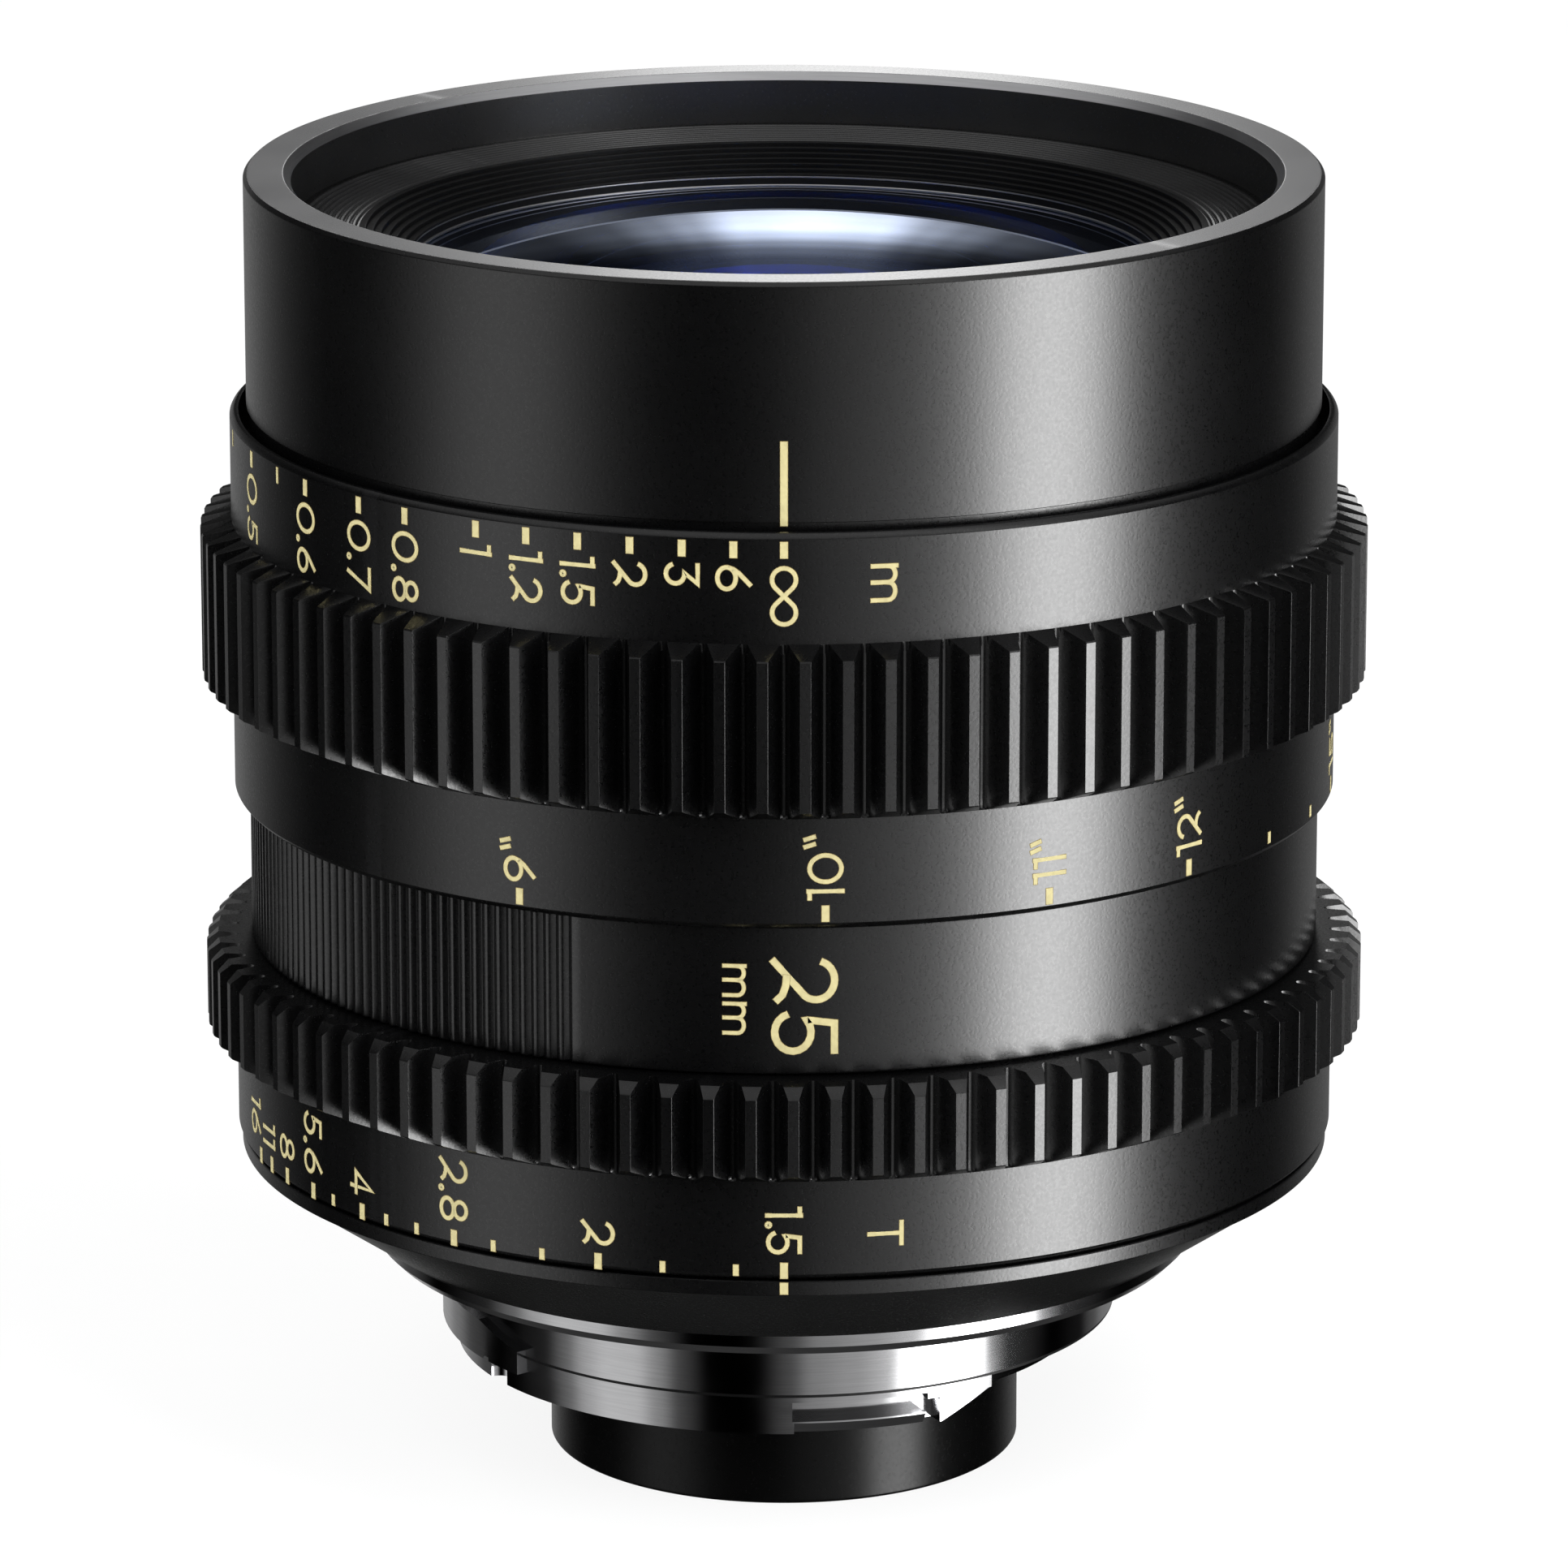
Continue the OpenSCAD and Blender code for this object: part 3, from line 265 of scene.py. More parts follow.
def ramp(tree, source, low, high, low_at=0.3, high_at=0.7):
    """Maps a grey output on to a range between two values or two colours."""
    node = tree.nodes.new("ShaderNodeValToRGB")
    ends = node.color_ramp.elements
    for end, value, place in ((ends[0], low, low_at), (ends[1], high, high_at)):
        end.position = place
        end.color = value if isinstance(value, tuple) else (value, value, value, 1)
    tree.links.new(source, node.inputs["Fac"])
    return node.outputs["Color"]


def bump(tree, shader, source, distance):
    """Adds relief of a depth in millimetres to a shader."""
    node = add_node(tree, "ShaderNodeBump", Strength=1.0, Distance=distance * MM)
    tree.links.new(source, node.inputs["Height"])
    tree.links.new(node.outputs["Normal"], shader.inputs["Normal"])


def mix_shaders(tree, share, first, second, output):
    """Ends a node tree in a mix of two shaders."""
    mix = tree.nodes.new("ShaderNodeMixShader")
    for source, socket in zip((share, first, second), mix.inputs):
        tree.links.new(source, socket)
    tree.links.new(mix.outputs[0], tree.nodes[output].inputs["Surface"])


def metal_paint(name, dark, light, rough, grain, grain_scale, specular):
    """Dull coated metal: blotchy colour, worn corners, uneven gloss and a fine grain."""
    gloss_spread = 0.03
    worn_gain = 3
    material, tree, shader = new_material(name)
    blotch = object_noise(tree, scale=120, detail=3)
    fine = object_noise(tree, grain_scale)
    colour = ramp(tree, blotch.outputs["Fac"], dark, light)
    edge = tree.nodes.new("ShaderNodeNewGeometry")
    worn = ramp(tree, edge.outputs["Pointiness"], 0.0, 0.45, low_at=0.56, high_at=0.72)
    mix = tree.nodes.new("ShaderNodeMix")
    mix.data_type = "RGBA"
    mix.inputs["B"].default_value = tuple(min(1, c * worn_gain) for c in light[:3]) + (1,)
    tree.links.new(worn, mix.inputs["Factor"])
    tree.links.new(colour, mix.inputs["A"])
    tree.links.new(mix.outputs["Result"], shader.inputs["Base Color"])
    gloss = ramp(tree, fine.outputs["Fac"], rough - gloss_spread, rough + gloss_spread)
    tree.links.new(gloss, shader.inputs["Roughness"])
    shader.inputs["Specular IOR Level"].default_value = specular
    bump(tree, shader, fine.outputs["Fac"], grain)
    return material


def turned_metal(name, colour, rough, lines):
    """Bright metal with faint turning lines."""
    gloss_spread = 0.05
    line_shade = 0.9
    material, tree, shader = new_material(name)
    fine = object_noise(tree, scale=300, stretch=(1, 1, 30))
    dark = tuple(line_shade * c for c in colour[:3]) + (1,)
    tree.links.new(ramp(tree, fine.outputs["Fac"], dark, colour), shader.inputs["Base Color"])
    blotch = object_noise(tree, scale=260, detail=3)
    gloss = ramp(tree, blotch.outputs["Fac"], rough, rough + gloss_spread)
    tree.links.new(gloss, shader.inputs["Roughness"])
    shader.inputs["Metallic"].default_value = 1.0
    bump(tree, shader, fine.outputs["Fac"], lines)
    return material


def coated_glass(name, tint, sheen, ior):
    """Clear glass with a coloured coating and a trace of dust."""
    material, tree, shader = new_material(name)
    shader.inputs["Base Color"].default_value = tint
    shader.inputs["Transmission Weight"].default_value = 1.0
    shader.inputs["IOR"].default_value = ior
    shader.inputs["Specular IOR Level"].default_value = 0.0
    coating = add_node(tree, "ShaderNodeBsdfPrincipled", Base_Color=sheen, Metallic=1.0)
    dust = object_noise(tree, scale=700, detail=4)
    gloss = ramp(tree, dust.outputs["Fac"], 0.0, 0.03, low_at=0.45, high_at=0.8)
    tree.links.new(gloss, shader.inputs["Roughness"])
    tree.links.new(gloss, coating.inputs["Roughness"])
    fresnel = add_node(tree, "ShaderNodeFresnel", IOR=ior)
    mix_shaders(tree, fresnel.outputs[0], shader.outputs[0], coating.outputs[0], "Material Output")
    return material


def paint(name, dark, light):
    """Filled engraving: matt enamel with slight mottling; its darker copy rims each mark as painted shade.
    """
    material, tree, shader = new_material(name)
    mottle = object_noise(tree, scale=2500, detail=3)
    tree.links.new(ramp(tree, mottle.outputs["Fac"], dark, light), shader.inputs["Base Color"])
    tree.links.new(ramp(tree, mottle.outputs["Fac"], 0.5, 0.7), shader.inputs["Roughness"])
    shader.inputs["Specular IOR Level"].default_value = 0.2
    bump(tree, shader, mottle.outputs["Fac"], distance=0.004)
    return material


BLACK = metal_paint("black_anodised", (0.0008, 0.0008, 0.0009, 1), (0.0014, 0.0014, 0.0015, 1),
                    rough=0.29, grain=0.006, grain_scale=5200, specular=1.0)
SHROUD = metal_paint("shroud_black", (0.0012, 0.0012, 0.0012, 1), (0.0018, 0.0018, 0.0018, 1),
                     rough=0.25, grain=0.002, grain_scale=4200, specular=0.22)
# Flat top of the rim: a grey copy of the barrel's black, painted light where the top catches the light
# from above.
RIM_PAINTED_LIGHT = metal_paint("rim_painted_light", (0.075, 0.075, 0.076, 1), (0.095, 0.095, 0.096, 1),
                  rough=0.2, grain=0.002, grain_scale=5200, specular=1.0)
# Inner filter wall: a lighter copy of the barrel's black, painted light on the inside of the tube.
WALL_PAINTED_LIGHT = metal_paint("filter_wall_painted_light", (0.004, 0.004, 0.0041, 1), (0.006, 0.006, 0.0061, 1),
                   rough=0.3, grain=0.006, grain_scale=5200, specular=1.0)
INNER = metal_paint("inner_black", (0.001, 0.001, 0.0011, 1), (0.0018, 0.0018, 0.0019, 1),
                    rough=0.45, grain=0.008, grain_scale=3500, specular=0.4)
BAFFLE = metal_paint("baffle_grey", (0.008, 0.008, 0.0082, 1), (0.012, 0.012, 0.0122, 1),
                     rough=0.2, grain=0.003, grain_scale=4200, specular=1.0)
CHROME = turned_metal("chrome", (0.62, 0.62, 0.63, 1), rough=0.1, lines=0.0012)
STEEL = turned_metal("steel", (0.42, 0.41, 0.4, 1), rough=0.25, lines=0.002)
BRONZE = turned_metal("bronze", (0.45, 0.3, 0.13, 1), rough=0.3, lines=0.003)
BLADE = metal_paint("blade_black", (0.006, 0.006, 0.007, 1), (0.012, 0.012, 0.013, 1),
                    rough=0.42, grain=0.002, grain_scale=900, specular=0.5)
FRONT_GLASS = coated_glass("front_glass", tint=(0.6, 0.68, 1.0, 1), sheen=(0.18, 0.4, 0.9, 1), ior=1.6)
INNER_GLASS = coated_glass("inner_glass", tint=(0.75, 0.8, 1.0, 1), sheen=(0.4, 0.45, 0.9, 1), ior=1.55)
FILL = paint("mark_fill", (0.3, 0.265, 0.135, 1), (0.36, 0.32, 0.165, 1))
# Darker rim round each mark: painted shade standing in for the shadow at the engraving's edge.
MARK_SHADE = paint("mark_groove", (0.12, 0.09, 0.035, 1), (0.17, 0.13, 0.05, 1))
# Ground rims of the glasses: pale blue bright metal, a painted reflection that shows as a bright ring
# through the front glass.
GROUND_REFLECTION = turned_metal("ground_edge_painted_reflection", (0.6, 0.75, 0.95, 1), rough=0.35, lines=0.002)
# Thread lead-in and thin rings at the glass: bright metal that stands in for highlight lines, painted
# highlight.
HIGHLIGHT_METAL = turned_metal("painted_highlight_metal", (0.9, 0.9, 0.92, 1), rough=0.32, lines=0.0015)


# Turned pieces
def make_front_barrel():
    """Front tube with its rim, filter wall and skirt."""
    clear_z = FOCUS_TOP + 0.4
    lead_r = FILTER_R + THREAD_LEAD
    lead_z = RIM_Z - THREAD_LEAD
    outline = rounded([
        (REGISTER_R, SKIRT_Z, 0.1), (SKIRT_R, SKIRT_Z, 0.1), (SKIRT_R, clear_z, 0),
        (FRONT_R, clear_z, 0.05), (FRONT_R, RIM_Z - RIM_BEVEL, 0.1), (FRONT_R - RIM_BEVEL, RIM_Z, 0.1),
        (lead_r, RIM_Z, 0.08), (FILTER_R, lead_z, 0.08), (FILTER_R, FILTER_Z, 0),
        (FRONT_BORE_R, FILTER_Z, 0.05), (FRONT_BORE_R, CARRIER_TOP, 0), (REGISTER_R, CARRIER_TOP, 0)])
    skin = add_piece("front_barrel_skin", turned(outline), BLACK, "optics",
                     ["front_barrel"])
    lead_highlight_face, rim_light_face, wall_light_face = 1, 2, 3
    for material in (HIGHLIGHT_METAL, RIM_PAINTED_LIGHT, WALL_PAINTED_LIGHT):
        skin.data.materials.append(material)
    for face in skin.data.polygons:
        r = math.hypot(face.center.x, face.center.y) / MM
        z = face.center.z / MM
        # The rim's flat top gets the grey copy of the black: painted light.
        if z > RIM_Z - 0.02:
            face.material_index = rim_light_face
        # The thread's lead-in gets the bright metal: a painted highlight line inside the rim.
        elif r < lead_r and z > lead_z:
            face.material_index = lead_highlight_face
        # The filter wall gets the lighter copy of the black: painted light.
        elif r < lead_r and z > FILTER_Z:
            face.material_index = wall_light_face


def make_baffle():
    """Grey ring of fine ridges inside the filter wall."""
    ridges = 9
    ridge_h = 0.16
    low_z = FILTER_Z - BAFFLE_H
    outer = FRONT_BORE_R - FIT
    step = BAFFLE_W / ridges
    fall = BAFFLE_FALL / ridges
    points = [(BAFFLE_IN_R, low_z, 0), (outer, low_z, 0)]
    for i in range(ridges):
        r = outer - step * i
        z = FILTER_Z - fall * i
        points.append((r - 0.02 * step, z, 0.02))
        points.append((r - 0.35 * step, z - 0.02, 0.03))
        points.append((r - 0.6 * step, z - ridge_h, 0.03))
    points.append((BAFFLE_IN_R, FILTER_Z - BAFFLE_FALL - ridge_h, 0.03))
    add_piece("front_baffle_skin", turned(rounded(points)), BAFFLE, "optics",
              ["front_baffle"])


def make_retainer():
    """Dark stepped cone that holds the front glass."""
    steps = 7
    lip_h = 0.6
    low_z = node_box("front_retainer")[0].z
    top_z = FILTER_Z - BAFFLE_FALL
    outer = BAFFLE_IN_R - FIT
    step_r = (outer - CLEAR_R) / steps
    step_z = (top_z - (low_z + lip_h)) / steps
    points = [(CLEAR_R, low_z, 0.03), (outer, low_z, 0), (outer, top_z, 0.03)]
    for i in range(steps):
        points.append((outer - step_r * (i + 1), top_z - step_z * i, 0.04))
        points.append((outer - step_r * (i + 1), top_z - step_z * (i + 1), 0))
    add_piece("front_retainer_skin", turned(rounded(points)), INNER, "optics",
              ["front_retainer"])


def make_highlight_rings():
    """Thin bright rings at the top and the foot of the retainer's lip: painted highlight lines round the
    glass.
    """
    sides = 12
    low_z = node_box("front_retainer")[0].z
    rings = (
        ("lip_highlight_ring", CLEAR_R + 0.06, low_z + 0.66, 0.08),
        ("glass_highlight_ring", CLEAR_R - 0.06, low_z + 0.1, 0.11))
    turns = [2 * math.pi * i / sides for i in range(sides)]
    for name, r, z, size in rings:
        outline = [(r + size * math.cos(turn), z + size * math.sin(turn)) for turn in turns]
        add_piece(name, turned(outline), HIGHLIGHT_METAL, "optics", sharp=WIRE_SHARP_ANGLE)


def make_groove_shade_ring():
    """Black ring in the undercut behind the bayonet's neck: painted shade, a dark line put where that
    undercut lies in shadow.
    """
    outline = [(GROOVE_FOOT_R, GROOVE_LOW_Z), (GROOVE_SHADE_R, GROOVE_LOW_Z),
               (GROOVE_SHADE_R, GROOVE_TOP_Z), (GROOVE_FOOT_R, GROOVE_TOP_Z)]
    add_piece("groove_line", turned(outline), INNER, "barrel")


def make_index_ring():
    """Thin fixed ring that carries the iris index."""
    outline = rounded([(SLEEVE_R, INDEX_Z, 0), (INDEX_R, INDEX_Z, 0.06), (INDEX_R, INDEX_TOP, 0.1),
                       (SLEEVE_R, INDEX_TOP, 0)])
    add_piece("index_ring_skin", turned(outline), BLACK, "barrel", ["index_ring"])


# Glass
def make_lens(node, material, front, back):
    """A glass from its node's box; front and back are (curve radius, clear radius), hollow if negative."""
    low, high = node_box(node)
    rim_r = high.x
    outline = []
    for (curve, clear), edge_z, side in ((front, high.z, 1), (back, low.z, -1)):
        drop = math.sqrt(curve * curve - clear * clear)
        bend = side if curve > 0 else -side
        if curve > 0:
            edge_z -= side * (curve - drop)
        face = []
        for i in range(LENS_STEPS + 1):
            r = clear * i / LENS_STEPS
            face.append((r, edge_z + bend * (math.sqrt(curve * curve - r * r) - drop)))
        if rim_r - clear > 0.05:
            face.append((0.5 * (rim_r + clear), edge_z))
            face.append((rim_r, edge_z))
        outline += face if side > 0 else reversed(face)
    skin = turned(outline, LENS_SEGMENTS, closed=False)
    lens = add_piece(node + "_skin", skin, material, "optics", [node])
    # The ground rim gets the pale blue metal: painted reflection.
    lens.data.materials.append(GROUND_REFLECTION)
    ground_r = 0.5 * (rim_r + back[1])
    for face in lens.data.polygons:
        r = math.hypot(face.center.x, face.center.y) / MM
        if r > ground_r and face.normal.z < 0.1:
            face.material_index = 1


# Toothed rings
def flank_angle(r, band):
    """Half the angle of a tooth at a radius."""
    root = band - ROOT_SINK
    shape = ((root, TOOTH_ROOT_W), (TOOTH_PITCH_R, TOOTH_PITCH_W), (TIP_R, TOOTH_CREST))
    points = [(sr, math.degrees(math.asin(sw / 2 / sr))) for sr, sw in shape]
    for (r0, a0), (r1, a1) in zip(points, points[1:]):
        if r <= r1:
            return a0 + (a1 - a0) * (r - r0) / (r1 - r0)
    return points[-1][1]


def tooth_columns(band, clip, phase, lift=0.0):
    """(radius, azimuth) columns round a toothed ring, with its teeth cut off at a radius."""
    floor = band - ROOT_SINK + lift
    step = 360 / TEETH
    room = max(clip - floor, 0.0)
    nick = min(TOOTH_NICK, 0.3 * room)
    fillet = min(TOOTH_FILLET, 0.3 * room)

    def angle(r):
        return flank_angle(max(r - lift, band - ROOT_SINK), band)

    crest = angle(clip)
    foot = angle(floor)
    side = [
        (clip, 0.0),
        (clip, crest - math.degrees(TOOTH_NICK / TIP_R)),
        (clip - nick, angle(clip - nick)),
        (floor + 0.5 * room, angle(floor + 0.5 * room)),
        (floor + fillet, angle(floor + fillet)),
        (floor + 0.3 * fillet, foot + 0.25 * (step / 2 - foot)),
        (floor, foot + 0.65 * (step / 2 - foot)),
    ]
    columns = []
    for tooth in range(TEETH):
        centre = tooth * step + phase
        columns.append((floor, centre - step / 2))
        columns += [(r, centre - a) for r, a in reversed(side)]
        columns += [(r, centre + a) for r, a in side[1:]]
    return columns


def row_at(columns, z):
    """One ring of points at a height."""
    return [at(r, az, z) for r, az in columns]


def plain_row(r, z, phase):
    """One round ring with as many points as a toothed one."""
    return [at(r, az, z) for _, az in tooth_columns(FOCUS_R, TIP_R, phase)]


def gear_rows(band, low_z, high_z, top_clip, phase):
    """Rings of a toothed band from its top down, with sloping ends and run-out scoops below."""
    nose_z = high_z - TOOTH_END
    foot_z = low_z + TOOTH_FOOT
    rows = [row_at(tooth_columns(band, top_clip, phase), high_z)]
    rows.append(row_at(tooth_columns(band, TIP_R - NOSE_CUT, phase), nose_z + NOSE_UP))
    rows.append(row_at(tooth_columns(band, TIP_R, phase), nose_z - NOSE_DOWN))
    rows.append(row_at(tooth_columns(band, TIP_R, phase), foot_z + NOSE_DOWN))
    for i in range(SCOOP_STEPS + 1):
        z = low_z + (TOOTH_FOOT - NOSE_DOWN) * (1 - i / SCOOP_STEPS)
        clip = band + (TIP_R - band) * (z - low_z) / TOOTH_FOOT
        share = max(0.0, 1 - (z - low_z) / SCOOP_H)
        lift = ROOT_SINK * (1 - math.sqrt(1 - share * share))
        rows.append(row_at(tooth_columns(band, clip, phase, lift), z))
    return rows


def ring_foot(r, gear_z, low_z):
    """Outline below a ring's gear: its wall and its rounded lower edge."""
    wall = [(r, gear_z), (r, gear_z - BAND_GUARD)]
    return wall + [(r - inward, low_z + up) for inward, up in reversed(RING_EDGE)]


def make_focus_ring():
    """Focus ring: lip, metre band, gear, inch band and bore."""
    slot_r = FOCUS_BORE_R + 0.95
    slot_low = STOP_Z - STOP_HALF_H
    slot_high = STOP_Z + STOP_HALF_H
    relief_z = BEARING_TOP - 0.05
    crown_r = FOCUS_R - RING_EDGE[0][0]
    outside = [(LIP_R, FOCUS_TOP), (LIP_R + 0.04, FOCUS_TOP), (crown_r, FOCUS_TOP - 0.01)]
    outside += [(FOCUS_R - inward, FOCUS_TOP - down) for inward, down in RING_EDGE[1:]]
    outside += [(FOCUS_R, FOCUS_UP_Z + BAND_GUARD), (FOCUS_R, FOCUS_UP_Z)]
    below = ring_foot(FOCUS_R, FOCUS_GEAR_Z, FOCUS_Z) + [
        (FOCUS_BORE_R, FOCUS_Z), (FOCUS_BORE_R, slot_low), (slot_r, slot_low), (slot_r, slot_high),
        (FOCUS_BORE_R, slot_high), (FOCUS_BORE_R, relief_z), (RELIEF_R, relief_z), (RELIEF_R, HELICOID_Z),
        (HELICOID_SEAT_R, HELICOID_Z), (HELICOID_SEAT_R, LIP_Z), (LIP_R, LIP_Z)]
    rows = [plain_row(r, z, FOCUS_TOOTH_AZ) for r, z in outside]
    rows += gear_rows(FOCUS_R, FOCUS_GEAR_Z, FOCUS_UP_Z, FOCUS_R, FOCUS_TOOTH_AZ)
    rows += [plain_row(r, z, FOCUS_TOOTH_AZ) for r, z in below]
    add_piece("focus_ring_skin", loft(rows), BLACK, "focus", ["focus_ring"],
              GEAR_SHARP_ANGLE)


def make_iris_ring():
    """Iris ring: ledge, gear, aperture band and bore."""
    below = ring_foot(IRIS_R, IRIS_GEAR_Z, IRIS_Z) + [(IRIS_BORE_R, IRIS_Z)]
    rows = [plain_row(r, IRIS_TOP, IRIS_TOOTH_AZ) for r in (IRIS_BORE_R, MID_R)]
    rows += gear_rows(IRIS_R, IRIS_GEAR_Z, IRIS_TOP, TIP_R - TOOTH_NOSE, IRIS_TOOTH_AZ)
    rows += [plain_row(r, z, IRIS_TOOTH_AZ) for r, z in below]
    add_piece("iris_ring_skin", loft(rows), BLACK, "iris", ["iris_ring"],
              GEAR_SHARP_ANGLE)


def make_mid_barrel():
    """Fixed barrel between the rings, ribbed on its left."""
    grip_low, grip_high = -158.0, -22.0
    pitch = 1.47
    half = math.degrees(0.3 / MID_R)
    nick = math.degrees(0.04 / MID_R)
    dip, depth = 0.025, 0.22
    plain_columns = 222
    columns = []
    grooves = int((grip_high - grip_low) / pitch) + 1
    for i in range(grooves):
        az = grip_low + pitch * i
        columns += [(az - half - nick, 0.0), (az - half + nick, dip), (az - 0.3 * nick, depth)]
        columns += [(az + 0.3 * nick, depth), (az + half - nick, dip), (az + half + nick, 0.0)]
    last = columns[-1][0]
    for i in range(1, plain_columns):
        columns.append((last + (360 + columns[0][0] - last) * i / plain_columns, 0.0))
    outline = rounded([
        (SLEEVE_R, MID_Z, 0), (MID_R, MID_Z, 0.1), (MID_R, MID_TOP, 0.1), (BEARING_R, MID_TOP, 0),
        (BEARING_R, BEARING_TOP, 0), (RETAINER_THREAD_R, BEARING_TOP, 0),
        (RETAINER_THREAD_R, BARREL_TOP, 0), (BARREL_BORE_R, BARREL_TOP, 0),
        (BARREL_BORE_R, SLEEVE_TOP, 0), (SLEEVE_R, SLEEVE_TOP, 0)])
    rows = []
    for r, z in outline:
        cut = 1.0 if r > BEARING_R + 0.3 else 0.0
        rows.append([at(r - cut * sink, az, z) for az, sink in columns])
    add_piece("mid_barrel_skin", loft(rows), BLACK, "barrel", ["mid_barrel"])


def make_shroud():
    """Black tube behind the mount, with its screw plate."""
    bore_r = SHROUD_R - SHROUD_WALL
    plate_z = SHROUD_HIGH.z - 1.2
    outline = rounded([
        (bore_r, SHROUD_LOW.z, 0.12), (SHROUD_R, SHROUD_LOW.z, 0.2), (SHROUD_R, plate_z, 0),
        (SHROUD_HIGH.x, plate_z, 0.1), (SHROUD_HIGH.x, SHROUD_HIGH.z, 0), (bore_r, SHROUD_HIGH.z, 0)])
    add_piece("rear_shroud_skin", turned(outline), SHROUD, "barrel", ["rear_shroud"])


# Marks: raised strokes with a darker rim of painted shade, drawn on a wall of given radius
STROKE = 0.25
CAP_H = 2.28
SHADE_RIM_W = 0.03
LETTER_GAP = 0.1
FILL_LIFT = 0.022
SHADE_RIM_LIFT = 0.012
MARK_FOOT = -0.03
TICK_W = 0.45
TICK_L = 1.0
SHORT_TICK_W = 0.33
SHORT_TICK_L = 0.7
UPRIGHT, READ_DOWN, READ_UP = 0, -1, 1


def arc(cx, cy, rx, ry, start, stop, steps=16):
    """Points along part of an ellipse, angles in degrees."""
    points = []
    for i in range(steps + 1):
        angle = math.radians(start + (stop - start) * i / steps)
        points.append((cx + rx * math.cos(angle), cy + ry * math.sin(angle)))
    return points


def glyph(char):
    """Width of a character and its strokes, each (points, closed), for a height of 1."""
    top = 0.92
    six = [(arc(0.3725, 0.32, 0.294, 0.2415, 0, 345, 22), True),
           ([(0.085, 0.36), (0.13, 0.5), (0.24, 0.65), (0.57, 0.96)], False)]
    loop_r, loop_x = 0.314, 0.442
    loops = []
    for side in (1, -1):
        loops += [(0.845 + side * (loop_x + x), 0.5 + y) for x, y in arc(0, 0, loop_r, loop_r, -135, 135)]
    shapes = {
        "0": (0.885, [(arc(0.4425, 0.5, 0.364, 0.4215, 0, 345, 24), True)]),
        "1": (0.32, [([(0.24, 0.0), (0.24, 1.0)], False), ([(0.24, top), (0.0, top)], False)]),
        "2": (0.73, [(arc(0.37, 0.66, 0.285, 0.262, 165, -35) + [(0.06, 0.04)], False),
                     ([(0.29, 0.25), (0.45, 0.235), (0.58, 0.19), (0.68, 0.09)], False)]),
        "3": (0.64, [([(0.0, top), (0.55, top), (0.27, 0.57)]
                     + arc(0.3, 0.325, 0.262, 0.2465, 85, -165), False)]),
        "4": (0.75, [([(0.75, 0.25), (0.1, 0.25), (0.52, top), (0.52, 0.0)], False)]),
        "5": (0.655, [([(0.62, top), (0.17, top), (0.12, 0.545)]
                       + arc(0.3, 0.335, 0.277, 0.2565, 130, -165), False)]),
        "6": (0.745, six),
        "7": (0.68, [([(0.0, top), (0.61, top), (0.2, 0.0)], False)]),
        "8": (0.735, [(arc(0.3675, 0.29, 0.289, 0.2115, 0, 345, 22), True),
                      (arc(0.3675, 0.72, 0.235, 0.2015, 0, 345, 22), True)]),
        "9": (0.745, [([(0.745 - x, 1 - y) for x, y in points], closed) for points, closed in six]),
        ".": (0.17, [(arc(0.085, 0.085, 0.04, 0.04, 0, 315, 8), True)]),
        '"': (0.4, [([(0.04, 1.08), (0.14, 0.76)], False), ([(0.24, 1.08), (0.34, 0.76)], False)]),
        "T": (0.7, [([(0.0, top), (0.7, top)], False), ([(0.35, top), (0.35, 0.0)], False)]),
        "m": (1.09, [([(0.08, 0.0), (0.08, 0.73)], False),
                     ([(0.08, 0.4)] + arc(0.3, 0.46, 0.22, 0.19, 160, 0, 8) + [(0.52, 0.0)], False),
                     ([(0.52, 0.4)] + arc(0.76, 0.46, 0.24, 0.19, 160, 0, 8) + [(1.0, 0.0)], False)]),
        "i": (1.69, [(loops, True)]),
    }
    return shapes[char]


def text_length(text):
    """Length of a text for a height of 1."""
    return sum(glyph(char)[0] + LETTER_GAP for char in text) - LETTER_GAP


def ribbon(points, closed, width):
    """Left and right edge of a stroke along points."""
    left, right = [], []
    count = len(points)
    for i in range(count):
        here = Vector(points[i])
        before = Vector(points[i - 1]) if closed or i > 0 else None
        after = Vector(points[(i + 1) % count]) if closed or i < count - 1 else None
        way_in = (here - before).normalized() if before is not None else None
        way_out = (after - here).normalized() if after is not None else None
        way_in = way_in or way_out
        way_out = way_out or way_in
        way = (way_in + way_out).normalized()
        side = Vector((-way.y, way.x))
        spread = max(0.5, side.dot(Vector((-way_out.y, way_out.x))))
        reach = width / 2 / spread
        left.append(here + side * reach)
        right.append(here - side * reach)
    return left, right


def stroke_shape(left, right, closed, place, top, foot):
    """Raised bar over a ribbon; place maps a flat point and a lift to space."""
    count = len(left)
    verts = []
    for a, b in zip(left, right):
        verts += [place(a, top), place(b, top), place(b, foot), place(a, foot)]
    faces = []
    for i in range(count if closed else count - 1):
        m = 4 * i
        n = 4 * ((i + 1) % count)
        for j in range(4):
            k = (j + 1) % 4
            faces.append((m + j, n + j, n + k, m + k))
    if not closed:
        faces += [(0, 1, 2, 3), tuple(4 * (count - 1) + j for j in (3, 2, 1, 0))]
    return verts, faces


